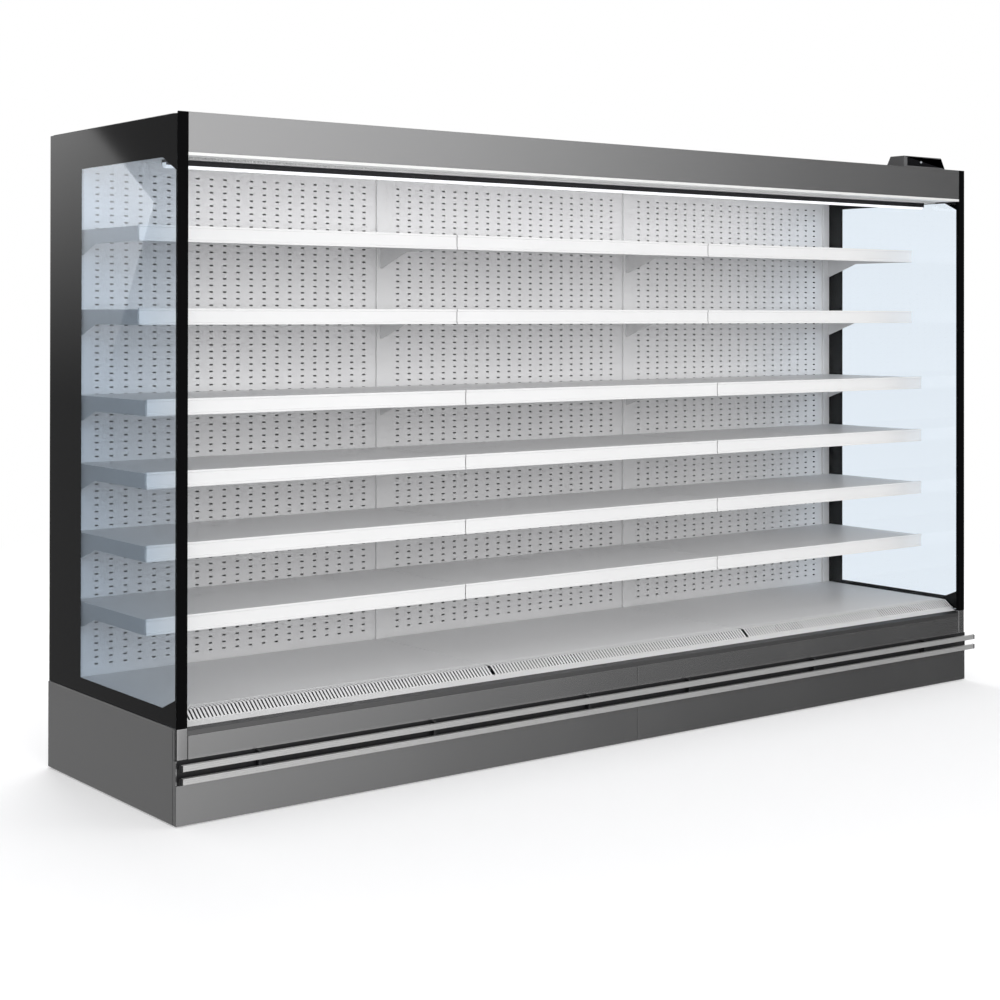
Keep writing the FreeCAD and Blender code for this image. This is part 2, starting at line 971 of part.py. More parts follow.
lamp_left = size("lamp_end")
lamp_front = liner_front + size("lamp_setback")
lamp_rear = lamp_front + size("lamp_width")
lamp_bottom = soffit - size("lamp_height")
lamp = section(
    "lamp_housing_body",
    [
        (lamp_front, lamp_bottom),
        (lamp_front, soffit),
        (lamp_rear, soffit),
        (lamp_rear, lamp_bottom),
        (lamp_rear - wall, lamp_bottom),
        (lamp_rear - wall, soffit - wall),
        (lamp_front + wall, soffit - wall),
        (lamp_front + wall, lamp_bottom),
    ],
    lamp_left,
    length - lamp_left,
)
keep(lamp, "lamp_housing")

drop = size("diffuser_drop")
diffuser = section(
    "lamp_diffuser_body",
    [
        (lamp_front + wall, lamp_bottom),
        (lamp_front + wall, lamp_bottom + drop),
        (lamp_rear - wall, lamp_bottom + drop),
        (lamp_rear - wall, lamp_bottom),
        (lamp_rear - drop, lamp_bottom - drop),
        (lamp_front + drop, lamp_bottom - drop),
    ],
    lamp_left,
    length - lamp_left,
)
keep(diffuser, "lamp_diffuser")

# ---------------------------------------------------------------------------------------------------------
# End walls: a glass pane in a full-height front profile, standing on the base cover
# ---------------------------------------------------------------------------------------------------------

glass_front = size("profile_lip")
glass_top = height - size("profile_rise")
panes = [
    box(
        f"{side}_end_glass_pane",
        (start, glass_front, base_top),
        (size("glass_thickness"), depth - glass_front, glass_top - base_top),
    )
    for side, start in (("left", size("glass_inset")), ("right", inner_right))
]
keep(group("end_glass_group", panes), "end_glass")

glass = size("glass_thickness")
width = size("profile_width")
profile_depth = size("profile_depth")
left_profile = [
    (0, 0),
    (width, 0),
    (width, profile_depth),
    (glass, profile_depth),
    (glass, glass_front),
    (0, glass_front),
]
right_profile = [(width - u, v) for u, v in left_profile]
profiles = []
for side, outline, start in (
    ("left", left_profile, size("glass_inset")),
    ("right", right_profile, length - front_left),
):
    profile = pad(f"{side}_end_profile_body", "XY_Plane", [outline], height - base_top)
    place(profile, start, 0, base_top)
    profiles.append(profile)
keep(group("end_profiles_group", profiles), "end_profiles")

# ---------------------------------------------------------------------------------------------------------
# Shelves: made once for each depth about the shelf's front top edge, then hung at each place
# ---------------------------------------------------------------------------------------------------------


def bracket_outline(rail_rear):
    """The side of a hook-on bracket: y from the front plane, z from the shelf's top."""
    top = -size("pan_drop")
    back = post_front - size("bracket_back_gap")
    slot_floor = -size("hook_drop")
    hook_floor = slot_floor + size("hook_play")
    hook_top = slot_floor + size("hook_height")
    finger_front = post_front + wall + size("hook_reach")
    finger_rear = finger_front + size("hook_finger")
    finger_floor = hook_floor - size("hook_finger_drop")
    tab_floor = hook_floor - size("slot_pitch")
    tab_top = hook_top - size("slot_pitch")
    tab_rear = post_front + size("tab_reach")
    return [
        (rail_rear, top),
        (rail_rear, top - size("bracket_front_height")),
        (post_front - size("bracket_knee"), top - size("bracket_front_height")),
        (back, top - size("bracket_rear_height")),
        (back, tab_floor),
        (tab_rear, tab_floor),
        (tab_rear, tab_top),
        (back, tab_top),
        (back, hook_floor),
        (finger_front, hook_floor),
        (finger_front, finger_floor),
        (finger_rear, finger_floor),
        (finger_rear, hook_top),
        (back, hook_top),
        (post_front - size("hook_relief"), top),
    ]


def shelf_bracket(name, rail_rear):
    """A hook-on bracket whose hook has a round seat, on which it rocks over the post's slot."""
    blank = pad(f"{name}_blank", "YZ_Plane", [bracket_outline(rail_rear)], size("bracket_thickness"))
    seat_cut = cylinder(
        f"{name}_seat",
        (0, post_front + wall / 2, -size("hook_drop")),
        size("hook_seat_radius"),
        size("bracket_thickness"),
        put,
    )
    seat_cut.Placement.Rotation = FreeCAD.Rotation(FreeCAD.Vector(0, 1, 0), 90)
    return cut(name, blank, seat_cut)


def price_rail_outline(front):
    """A label channel: a flat face with a short fold behind its top and bottom edges."""
    rear = front + size("price_rail_depth")
    bottom = -size("price_rail_height")
    fold = size("price_rail_lip")
    return [
        (front, bottom),
        (front, 0),
        (rear, 0),
        (rear, -fold),
        (rear - wall, -fold),
        (rear - wall, -wall),
        (front + wall, -wall),
        (front + wall, bottom + wall),
        (rear - wall, bottom + wall),
        (rear - wall, bottom + fold),
        (rear, bottom + fold),
        (rear, bottom),
    ]


def shelf_pieces(kind):
    """The pan, its two brackets and its price rail, in the shelf's own frame."""
    front = size(f"shelf_front_{kind}")
    rail_rear = front + size("price_rail_depth")
    thick = size("bracket_thickness")
    left = shelf_bracket(f"{kind}_bracket_left", rail_rear)
    right = shelf_bracket(f"{kind}_bracket_right", rail_rear)
    put(right, module_width - thick, 0, 0)
    rail = pad(f"{kind}_price_rail", "YZ_Plane", [price_rail_outline(front)], module_width)
    pan_span = module_width - 2 * thick
    pan_depth = post_front - size("pan_rear_gap") - rail_rear
    lip_bottom = -size("pan_drop") - size("pan_lip")
    pan = tray(
        f"{kind}_shelf_pan",
        (thick, rail_rear, lip_bottom),
        (pan_span, pan_depth, size("pan_lip")),
        (thick + wall, rail_rear + wall, lip_bottom),
        (pan_span - 2 * wall, pan_depth - 2 * wall, size("pan_lip") - wall),
        put,
    )
    return [pan, left, right, rail]


shelf_sets = {"short": shelf_pieces("short"), "deep": shelf_pieces("deep")}
for tier in range(1, TIERS + 1):
    kind = "deep" if tier in DEEP_TIERS else "short"
    for index, module in enumerate(MODULE_NAMES):
        shelf = group(f"shelf_{tier}_{module}_group", shelf_sets[kind])
        place(shelf, module_left(index), 0, shelf_top(tier))
        keep(shelf, f"shelf_{tier}_{module}")

# ---------------------------------------------------------------------------------------------------------
# Fans: each lies in a sloping plate between the tub's floor and the deck.  The pieces are made about the
# fan's own axis, +Z against the air flow, and then tilted into place.
# ---------------------------------------------------------------------------------------------------------

tilt = size("fan_tilt")
half_wall = wall / 2
fan_height = tub_inner_floor + seat + size("fan_plate_half") * sine(tilt) + half_wall * cosine(tilt)


def tilt_into_place(thing, index):
    thing.Placement.Rotation = FreeCAD.Rotation(FreeCAD.Vector(1, 0, 0), tilt.value)
    bind(thing, "Placement.Rotation.Angle", tilt)
    place(thing, module_left(index) + module_width / 2, size("fan_place"), fan_height)


collar_inner = size("fan_radius") + size("fan_tip_gap")
collar_outer = collar_inner + size("fan_collar_wall")
plate_span = module_pitch - 2 * size("fan_plate_end_gap")
plate_sheet = box(
    "fan_plate_sheet",
    (-plate_span / 2, -size("fan_plate_half"), -half_wall),
    (plate_span, 2 * size("fan_plate_half"), wall),
    put,
)
collar_bottom = -size("fan_collar_depth")
plate_collar = prism("fan_collar", (0, 0, collar_bottom), COLLAR_SIDES, collar_outer, -collar_bottom, put)
plate_hole = prism("fan_hole", (0, 0, collar_bottom), COLLAR_SIDES, collar_inner, wall - collar_bottom, put)
plate_master = cut("fan_plate_master", fuse("fan_plate_blank", [plate_sheet, plate_collar]), plate_hole)

guard_bottom = half_wall
guard_top = guard_bottom + size("guard_thickness")


def ring_of_corners(radius, count):
    """The corners of a regular outline with a flat side across each axis."""
    corners = []
    for index in range(count):
        angle = as_size(360.0 * (index + 1 / 2) / count)
        corners.append((radius * cosine(angle), radius * sine(angle)))
    return corners


guard_disc = pad(
    "fan_guard_disc",
    "XY_Plane",
    [
        ring_of_corners(size("guard_radius"), GUARD_SIDES),
        ring_of_corners(size("shaft_radius") + wall, GUARD_SECTORS),
    ],
    size("guard_thickness"),
)


def guard_opening(inner, outer):
    """A four-cornered opening between two radii, with half a rib left on each side."""
    half_angle = as_size(180.0 / GUARD_SECTORS)
    rib = size("guard_rib") / 2
    near = (inner * sine(half_angle) - rib, inner * cosine(half_angle))
    far = (outer * sine(half_angle) - rib, outer * cosine(half_angle))
    return [(-near[0], near[1]), near, far, (-far[0], far[1])]


guard_cuts = pocket(
    guard_disc,
    "fan_guard_openings",
    "XY_Plane",
    [
        guard_opening(size("guard_hub_radius") + wall, size("guard_ring_inner")),
        guard_opening(size("guard_ring_outer"), size("guard_open_radius")),
    ],
)
repeat_around(guard_disc, guard_cuts, "fan_guard_ring", GUARD_SECTORS)
put(guard_disc, 0, 0, guard_bottom)

hub_top = -size("fan_hub_top")
hub_bottom = hub_top - size("fan_hub_height")
motor_case = prism(
    "fan_motor_case", (0, 0, guard_top), MOTOR_SIDES, size("motor_radius"), size("motor_height"), put
)
shaft_length = guard_top - hub_bottom
motor_shaft = cylinder("fan_motor_shaft", (0, 0, hub_bottom), size("shaft_radius"), shaft_length, put)
motor_master = fuse("fan_motor_master", [motor_case, motor_shaft])

impeller = pad(
    "fan_impeller_body",
    "XY_Plane",
    [ring_of_corners(size("fan_hub_radius"), HUB_SIDES)],
    size("fan_hub_height"),
)


def blade_section():
    """A pressed strip: bent to a shallow curve across its chord and turned by its pitch."""
    pitch = size("blade_pitch")
    middle = size("fan_hub_height") / 2
    half_chord = size("blade_chord") / 2
    half_thickness = size("blade_thickness") / 2
    lower, upper = [], []
    for bend in range(BLADE_BENDS + 1):
        share = 2 * bend / BLADE_BENDS - 1
        along = half_chord * share
        rise = size("blade_camber") * (1 - share * share)
        for face, side in ((-1, lower), (1, upper)):
            across = rise + half_thickness * face
            side.append(
                (
                    along * cosine(pitch) - across * sine(pitch),
                    middle + along * sine(pitch) + across * cosine(pitch),
                )
            )
    return lower + upper[::-1]


blade_root = size("fan_hub_radius") - 2 * size("blade_thickness")
blade = impeller.newObject("PartDesign::Pad", "fan_blade")
blade.Profile = draw(impeller, "YZ_Plane", "blade_outline", [blade_section()], blade_root)
bind(blade, "Length", size("fan_radius") - size("blade_thickness") - blade_root)
repeat_around(impeller, blade, "fan_blades", FAN_BLADES)
put(impeller, 0, 0, hub_bottom)
hub_bore = cylinder(
    "fan_hub_bore", (0, 0, hub_bottom), size("shaft_radius") + size("shaft_play"), size("fan_hub_height"), put
)
wheel_master = cut("fan_wheel_master", impeller, hub_bore)

fan_sets = {"fan_plates": [plate_master], "fan_guards": [guard_disc], "fan_motors": [motor_master]}
for label, master in fan_sets.items():
    copies = []
    for index, module in enumerate(MODULE_NAMES):
        copy = group(f"{label}_{module}", master)
        tilt_into_place(copy, index)
        copies.append(copy)
    keep(group(f"{label}_group", copies), label)
for index, module in enumerate(MODULE_NAMES):
    wheel = group(f"fan_impeller_{module}_group", [wheel_master])
    tilt_into_place(wheel, index)
    keep(wheel, f"fan_impeller_{module}")

# The cooling coil: a finned block between two end plates that stand on the tub's floor, in the space that the
# fan plates leave in front of it and the deck leaves above it.
coil_left = size("coil_end_gap")
coil_span = length - 2 * coil_left
coil_front = size("fan_place") + size("fan_plate_half") * cosine(tilt) + size("coil_front_gap")
coil_depth = duct_rear - size("coil_rear_gap") - coil_front
coil_height = tub_top - size("coil_top_gap") - tub_inner_floor
coil = pad(
    "evaporator_body",
    "YZ_Plane",
    [rectangle(0, size("coil_plate_rise"), coil_depth, coil_height)],
    coil_span,
)
groove_pitch = (coil_span - 2 * size("coil_groove_width")) / COIL_GROOVES
groove_floor = coil_height - size("coil_groove_depth")
groove = rectangle(
    size("coil_groove_width"), groove_floor, 2 * size("coil_groove_width"), coil_height + wall
)
grooves = pocket(coil, "coil_grooves", "XZ_Plane", [groove])
repeat_along(coil, grooves, "coil_groove_row", COIL_GROOVES, groove_pitch * (COIL_GROOVES - 1))
place(coil, coil_left, coil_front, tub_inner_floor)
coil_plates = [
    box(
        f"coil_end_plate_{side}",
        (start, coil_front, tub_inner_floor),
        (size("coil_plate"), coil_depth, coil_height),
    )
    for side, start in (
        ("left", coil_left - size("coil_plate")),
        ("right", length - coil_left),
    )
]
keep(fuse("evaporator_block", [coil] + coil_plates), "evaporator_coil")

# ---------------------------------------------------------------------------------------------------------
# Controller: a low housing on the canopy near the right end, sloped down at its right end and at its back,
# with a dark window in its front
# ---------------------------------------------------------------------------------------------------------

housing_left = length - size("controller_right_gap") - size("controller_length")
housing_height = size("controller_height")
housing_depth = size("controller_depth")
housing = pad(
    "controller_shell",
    "XZ_Plane",
    [
        [
            (0, 0),
            (0, housing_height),
            (size("controller_length") - size("controller_slope"), housing_height),
            (size("controller_length"), 0),
        ]
    ],
    housing_depth,
    backward=True,
)
pocket(
    housing,
    "controller_back",
    "YZ_Plane",
    [
        [
            (size("controller_top_depth"), housing_height),
            (housing_depth, 0),
            (housing_depth + wall, 0),
            (housing_depth + wall, housing_height + wall),
            (size("controller_top_depth"), housing_height + wall),
        ]
    ],
)
place(housing, housing_left, size("controller_front"), height)

window_place = (housing_left + size("window_margin"), size("controller_front"), height + size("window_sill"))
window_extent = (size("window_length"), size("window_thickness"), size("window_height"))
recess = box("window_recess", window_place, window_extent)
keep(cut("controller_housing_cut", housing, recess), "controller_housing")
window = box("window_pane", window_place, window_extent)
keep(window, "controller_window")

# ---------------------------------------------------------------------------------------------------------
# Check and write
# ---------------------------------------------------------------------------------------------------------

doc.recompute()
for thing in doc.Objects:
    if "Invalid" in thing.State or "Error" in thing.State:
        raise RuntimeError(f"{thing.Name} failed: {thing.State}")

os.makedirs("parts", exist_ok=True)
for piece in nodes:
    shape = piece.Shape
    if shape.isNull() or not shape.isValid() or not shape.Solids:
        raise RuntimeError(f"{piece.Label} has no sound solid")
    shape.exportStep(f"parts/{piece.Label}.step")
    print(f"{piece.Label}: {len(shape.Solids)} solids, {shape.Volume / 1000:.1f} cm3")
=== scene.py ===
import math

import bmesh
import bpy
from mathutils import Matrix, Vector


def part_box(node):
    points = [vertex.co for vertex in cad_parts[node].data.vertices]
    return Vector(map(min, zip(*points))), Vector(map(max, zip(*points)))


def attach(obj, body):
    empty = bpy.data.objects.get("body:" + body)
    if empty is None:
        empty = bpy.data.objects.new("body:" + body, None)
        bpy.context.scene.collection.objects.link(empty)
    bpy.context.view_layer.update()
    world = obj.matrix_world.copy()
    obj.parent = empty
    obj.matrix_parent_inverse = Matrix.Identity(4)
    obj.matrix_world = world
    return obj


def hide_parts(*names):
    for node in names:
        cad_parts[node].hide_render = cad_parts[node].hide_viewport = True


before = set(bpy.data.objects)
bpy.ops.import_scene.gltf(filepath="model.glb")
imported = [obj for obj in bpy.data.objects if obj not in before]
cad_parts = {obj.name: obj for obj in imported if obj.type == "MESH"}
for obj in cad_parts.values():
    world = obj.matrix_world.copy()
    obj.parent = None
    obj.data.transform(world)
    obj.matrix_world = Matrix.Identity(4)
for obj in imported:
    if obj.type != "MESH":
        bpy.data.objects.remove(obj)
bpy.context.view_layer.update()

scene = bpy.context.scene
scene.view_settings.view_transform = "Standard"

# --------------------------------------------------
# Camera.  It stands in front of the left end, a little under three quarters of the fridge's height up, and
# looks along it with hardly any tilt; the lens is shifted down, so the uprights stay plumb.
# --------------------------------------------------

SENSOR = 36.0
FOCAL_LENGTH = 65.71
SHIFT_DOWN = 0.1936
EYE = Vector((-4.5786, -5.5773, 1.5938))
TURN, TILT, ROLL = -0.6545, 0.0045, -0.0014

camera_data = bpy.data.cameras.new("camera")
camera_data.sensor_width = SENSOR
camera_data.lens = FOCAL_LENGTH
camera_data.shift_y = -SHIFT_DOWN
camera = bpy.data.objects.new("camera", camera_data)
camera.matrix_world = (
    Matrix.Translation(EYE)
    @ Matrix.Rotation(TURN, 4, "Z")
    @ Matrix.Rotation(TILT, 4, "X")
    @ Matrix.Rotation(ROLL, 4, "Y")
    @ Matrix.Rotation(math.pi / 2, 4, "X")
)
scene.collection.objects.link(camera)
scene.camera = camera

# --------------------------------------------------
# Studio.  A white floor that fades into a white background, a large soft lamp from the front left, weaker
# ones from the right, from behind and under the canopy, and a soft panel that the glossy left end mirrors.
# --------------------------------------------------

FLOOR_SIZE = 60.0
FLOOR_DROP = 0.0005
FLOOR_COLOUR = (0.84, 0.84, 0.85, 1)
FLOOR_GLOW = 0.30
FADE_FROM, FADE_TO = 3.2, 6.5
WHITE = (1, 1, 1, 1)
AMBIENT = 0.62
PANEL_LEAN = -0.55
SOFT_LAMPS = {
    # name: (place, target, roll, width, height, watts, seen in mirrors)
    "key_lamp": ((-3.5, -8.0, 2.9), (0.0, 0.0, 1.2), 0.0, 6.0, 4.0, 360.0, False),
    "fill_lamp": ((6.0, -6.5, 3.0), (0.5, 0.0, 1.0), 0.0, 3.0, 3.0, 110.0, False),
    "back_lamp": ((1.5, 5.5, 4.5), (0.0, 0.5, 1.2), 0.0, 5.0, 2.5, 260.0, False),
    "canopy_lamp": ((0.0, -0.14, 2.075), (0.0, 0.33, 1.25), 0.0, 3.6, 0.03, 2.5, False),
    "end_panel": ((-6.0, 9.73, 2.17), (0.0, 9.73, 2.17), PANEL_LEAN, 3.0, 2.6, 48.0, True),
}
PANEL_DARK, PANEL_LIGHT, PANEL_FALL = 0.75, 3.2, 1.6
MIRRORED_SIDES = (
    # direction, where along it the studio starts and stops growing lighter, how light it is there
    ((0.0, -0.95, 0.30), 0.60, 0.89, 0.02, 1.14),
    ((0.61, 0.79, 0.0), 0.10, 0.42, 0.03, 0.28),
    ((0.61, 0.79, 0.0), 0.70, 0.90, 0.03, 1.00),
)


def feed(node, *inputs, **values):
    """Sets a node's properties, then its inputs in order and by name; nodes and outputs among them are linked."""
    for name in [name for name in values if name in node.bl_rna.properties]:
        setattr(node, name, values.pop(name))
    for place, value in [*enumerate(inputs), *values.items()]:
        socket = node.inputs[place if isinstance(place, int) else place.replace("_", " ")]
        if isinstance(value, bpy.types.Node):
            value = value.outputs[0]
        if isinstance(value, bpy.types.NodeSocket):
            node.id_data.links.new(value, socket)
        elif value is not None:
            socket.default_value = value
    return node


def add_node(tree, kind, *inputs, **values):
    """Adds a node to a tree and feeds it."""
    return feed(tree.nodes.new(kind), *inputs, **values)


def empty_tree(owner):
    """The node tree of a world or a material, with nothing in it."""
    owner.use_nodes = True
    owner.node_tree.nodes.clear()
    return owner.node_tree


def seen_directly(tree, rays):
    """One for rays from the camera, also through glass, and zero for the others."""
    return add_node(
        tree, "ShaderNodeMath", rays["Is Camera Ray"], rays["Is Transmission Ray"], operation="ADD", use_clamp=True
    )


scene.world = bpy.data.worlds.new("studio")
tree = empty_tree(scene.world)
rays = add_node(tree, "ShaderNodeLightPath").outputs
direction = add_node(tree, "ShaderNodeTexCoord").outputs["Generated"]
lightest = 0.0
for axis, dim_at, light_at, dim, light in MIRRORED_SIDES:
    nearness = add_node(tree, "ShaderNodeVectorMath", direction, axis, operation="DOT_PRODUCT")
    level = add_node(
        tree, "ShaderNodeMapRange", nearness.outputs["Value"], interpolation_type="SMOOTHSTEP",
        From_Min=dim_at, From_Max=light_at, To_Min=dim, To_Max=light,
    )
    lightest = add_node(tree, "ShaderNodeMath", lightest, level, operation="MAXIMUM")
seen = seen_directly(tree, rays)
seen_or_mirrored = add_node(
    tree, "ShaderNodeMath", seen, rays["Is Glossy Ray"], operation="ADD", use_clamp=True
)
backdrop_level = add_node(tree, "ShaderNodeMix", rays["Is Glossy Ray"], None, 1.0, lightest, data_type="FLOAT")
ambient = add_node(tree, "ShaderNodeBackground", WHITE, AMBIENT)
backdrop = add_node(tree, "ShaderNodeBackground", WHITE, backdrop_level)
choice = add_node(tree, "ShaderNodeMixShader", seen_or_mirrored, ambient, backdrop)
add_node(tree, "ShaderNodeOutputWorld", choice)

for name, (place, target, roll, width, height, watts, mirrored) in SOFT_LAMPS.items():
    lamp = bpy.data.lights.new(name, "AREA")
    lamp.shape = "RECTANGLE"
    lamp.size = width
    lamp.size_y = height
    lamp.energy = watts
    lamp_object = bpy.data.objects.new(name, lamp)
    lamp_object.location = place
    aim = (Vector(target) - Vector(place)).to_track_quat("-Z", "Y").to_matrix() @ Matrix.Rotation(roll, 3, "Z")
    lamp_object.rotation_euler = aim.to_euler()
    lamp_object.visible_glossy = mirrored
    scene.collection.objects.link(lamp_object)

# The end panel glows at its top and fades towards the floor.
end_panel = bpy.data.lights["end_panel"]
end_panel.use_nodes = True
tree = end_panel.node_tree
where = add_node(tree, "ShaderNodeSeparateXYZ", add_node(tree, "ShaderNodeNewGeometry").outputs["Position"])
rise = add_node(tree, "ShaderNodeMapRange", where.outputs["Z"], From_Min=PANEL_DARK, From_Max=PANEL_LIGHT)
feed(tree.nodes["Emission"], Strength=add_node(tree, "ShaderNodeMath", rise, PANEL_FALL, operation="POWER"))

half = FLOOR_SIZE / 2
floor_mesh = bpy.data.meshes.new("studio_floor")
floor_corners = [(-half, -half), (half, -half), (half, half), (-half, half)]
floor_mesh.from_pydata([(x, y, -FLOOR_DROP) for x, y in floor_corners], [], [(0, 1, 2, 3)])
floor = bpy.data.objects.new("studio_floor", floor_mesh)
scene.collection.objects.link(floor)

# The floor is matt near the fridge and pure white far from it; mirrors look through it.
floor_paint = bpy.data.materials.new("studio_floor")
tree = empty_tree(floor_paint)
rays = add_node(tree, "ShaderNodeLightPath").outputs
where = add_node(tree, "ShaderNodeTexCoord").outputs["Object"]
distance = add_node(tree, "ShaderNodeVectorMath", where, operation="LENGTH").outputs["Value"]
far = add_node(
    tree, "ShaderNodeMapRange", distance, interpolation_type="SMOOTHSTEP", From_Min=FADE_FROM, From_Max=FADE_TO
)
seen = seen_directly(tree, rays)
far_seen = add_node(tree, "ShaderNodeMath", far, seen, operation="MULTIPLY")
glow_level = add_node(tree, "ShaderNodeMath", seen, FLOOR_GLOW, operation="MULTIPLY")
matt = add_node(tree, "ShaderNodeBsdfDiffuse", FLOOR_COLOUR)
glow = add_node(tree, "ShaderNodeEmission", WHITE, glow_level)
lit_floor = add_node(tree, "ShaderNodeAddShader", matt, glow)
white_floor = add_node(tree, "ShaderNodeEmission", WHITE, 1.0)
fading_floor = add_node(tree, "ShaderNodeMixShader", far_seen, lit_floor, white_floor)
unseen = add_node(tree, "ShaderNodeBsdfTransparent", WHITE)
choice = add_node(tree, "ShaderNodeMixShader", rays["Is Glossy Ray"], fading_floor, unseen)
add_node(tree, "ShaderNodeOutputMaterial", choice)
floor_mesh.materials.append(floor_paint)

# --------------------------------------------------
# Base covers.  Folded steel sheets in a metallic graphite powder coat: a plain cover on each end, two clip-on
# kick plates and two fascias in front, and a lighter cap on each front corner.
# --------------------------------------------------

GRAPHITE = (0.42, 0.42, 0.423)
LIGHT_GRAPHITE = (0.43, 0.43, 0.433)
SHEET_EASE = 0.0012
CORNER_EASE = 0.0025
SMOOTH_ANGLE = 40
FACE_WEIGHT = 90
CLOUD_SCALE = 1.7


def effect(name, inputs, outputs):
    """A shader node group with named inputs and outputs, and the two nodes at its ends."""
    group = bpy.data.node_groups.new(name, "ShaderNodeTree")
    for label, kind, value in inputs:
        socket = group.interface.new_socket(label, in_out="INPUT", socket_type=kind)
        socket.default_value = value
    for label, kind in outputs:
        group.interface.new_socket(label, in_out="OUTPUT", socket_type=kind)
    return group, group.nodes.new("NodeGroupInput"), group.nodes.new("NodeGroupOutput")


COLOUR, NUMBER, DIRECTION = "NodeSocketColor", "NodeSocketFloat", "NodeSocketVector"


def surface_effect(name, stretch):
    """Cloudy colour and gloss over a fine grain, which the stretch draws out along an axis."""
    group, start, end = effect(
        name,
        [
            ("Colour", COLOUR, (0.5, 0.5, 0.5, 1)),
            ("Cloudiness", NUMBER, 0.04),
            ("Roughness", NUMBER, 0.4),
            ("Roughness Spread", NUMBER, 0.06),
            ("Grain Size", NUMBER, 0.002),
            ("Grain Depth", NUMBER, 0.00002),
        ],
        [("Colour", COLOUR), ("Roughness", NUMBER), ("Normal", DIRECTION)],
    )
    place = add_node(group, "ShaderNodeTexCoord").outputs["Object"]
    clouds = add_node(group, "ShaderNodeTexNoise", place, Scale=CLOUD_SCALE, Detail=4.0)
    stretched = add_node(group, "ShaderNodeMapping", place, Scale=stretch)
    pitch = add_node(group, "ShaderNodeMath", 1.0, start.outputs["Grain Size"], operation="DIVIDE")
    grain = add_node(group, "ShaderNodeTexNoise", stretched, Scale=pitch, Detail=2.0)
    centred = add_node(group, "ShaderNodeMath", clouds, 0.5, operation="SUBTRACT")
    tone = add_node(
        group, "ShaderNodeMath", centred, start.outputs["Cloudiness"], 1.0, operation="MULTIPLY_ADD"
    )
    tinted = add_node(group, "ShaderNodeVectorMath", start.outputs["Colour"], operation="SCALE", Scale=tone)
    mixed = add_node(group, "ShaderNodeMath", clouds, grain, operation="ADD")
    rough = add_node(
        group, "ShaderNodeMath", mixed, start.outputs["Roughness Spread"], start.outputs["Roughness"],
        operation="MULTIPLY_ADD",
    )
    bump = add_node(group, "ShaderNodeBump", Strength=1.0, Distance=start.outputs["Grain Depth"], Height=grain)
    feed(end, tinted, rough, bump)
    return group


powder_skin = surface_effect("powder_skin", (1, 1, 1))


def finish(name, skin, colour, roughness, grain, depth, metallic=0.0, gloss=0.5, cloudiness=0.08, spread=0.06):
    """A solid finish: the skin's colour, roughness and grain on one surface shader."""
    paint = bpy.data.materials.new(name)
    paint.use_nodes = True
    tree = paint.node_tree
    look = add_node(
        tree, "ShaderNodeGroup", node_tree=skin, Colour=(*colour, 1), Cloudiness=cloudiness,
        Roughness=roughness - spread, Roughness_Spread=spread, Grain_Size=grain, Grain_Depth=depth,
    )
    feed(
        tree.nodes["Principled BSDF"], Metallic=metallic, Specular_IOR_Level=gloss,
        Base_Color=look.outputs["Colour"], Roughness=look.outputs["Roughness"], Normal=look.outputs["Normal"],
    )
    return paint


def merged(node):
    """The mesh of a CAD piece with its loose triangles joined into whole faces."""
    mesh = bmesh.new()
    mesh.from_mesh(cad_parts[node].data)
    bmesh.ops.remove_doubles(mesh, verts=mesh.verts, dist=2e-5)
    bmesh.ops.dissolve_limit(mesh, angle_limit=math.radians(0.5), verts=mesh.verts, edges=mesh.edges)
    return mesh


def ease(mesh, width, segments=2, least_angle=30):
    """Rounds every edge that turns by more than the least angle."""
    sharp = [e for e in mesh.edges if len(e.link_faces) == 2 and e.calc_face_angle() > math.radians(least_angle)]
    bmesh.ops.bevel(
        mesh, geom=sharp, offset=width, segments=segments, affect="EDGES", clamp_overlap=True, profile=0.5
    )
    return mesh


def block(mesh):
    """The edited mesh as a mesh of its own."""
    data = bpy.data.meshes.new("block")
    mesh.to_mesh(data)
    mesh.free()
    return data


def shaped(data, kind, **settings):
    """The plain mesh that a modifier makes of a mesh.  Settings of a node tree go by its inputs' names."""
    blank = bpy.data.objects.new("blank", data)
    scene.collection.objects.link(blank)
    modifier = blank.modifiers.new("shaped", kind)
    if kind == "NODES":
        modifier.node_group = settings["tree"]
        for item in modifier.node_group.interface.items_tree:
            label = item.name.lower().replace(" ", "_")
            if item.in_out == "INPUT" and label in settings:
                modifier[item.identifier] = settings[label]
    else:
        for label, value in settings.items():
            setattr(modifier, label, value)
    result = bpy.data.meshes.new_from_object(blank.evaluated_get(bpy.context.evaluated_depsgraph_get()))
    bpy.data.objects.remove(blank)
    bpy.data.meshes.remove(data)
    return result


def settle(mesh, name, paint, body, slot, *stands_for):
    """Makes the mesh a piece that rides on its body and stands for its CAD nodes."""
    bmesh.ops.recalc_face_normals(mesh, faces=mesh.faces)
    data = block(mesh)
    data.shade_smooth()
    data.set_sharp_from_angle(angle=math.radians(SMOOTH_ANGLE))
    data = shaped(data, "WEIGHTED_NORMAL", keep_sharp=True, weight=FACE_WEIGHT)
    data.name = name
    data.materials.clear()
    data.materials.append(paint)
    piece = bpy.data.objects.new(name, data)
    scene.collection.objects.link(piece)
    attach(piece, body)
    if stands_for:
        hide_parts(*stands_for)
    return piece


def eased(node, name, paint, slot, width, segments=2, body="cabinet"):
    """Makes a CAD piece, with its edges rounded, a piece of the finished model."""
    return settle(ease(merged(node), width, segments), name, paint, body, slot, node)


graphite_paint = finish("graphite_paint", powder_skin, GRAPHITE, 0.25, 0.0016, 0.000015, metallic=0.93)
trim_paint = finish("trim_paint", powder_skin, LIGHT_GRAPHITE, 0.26, 0.0016, 0.000015, metallic=0.93)

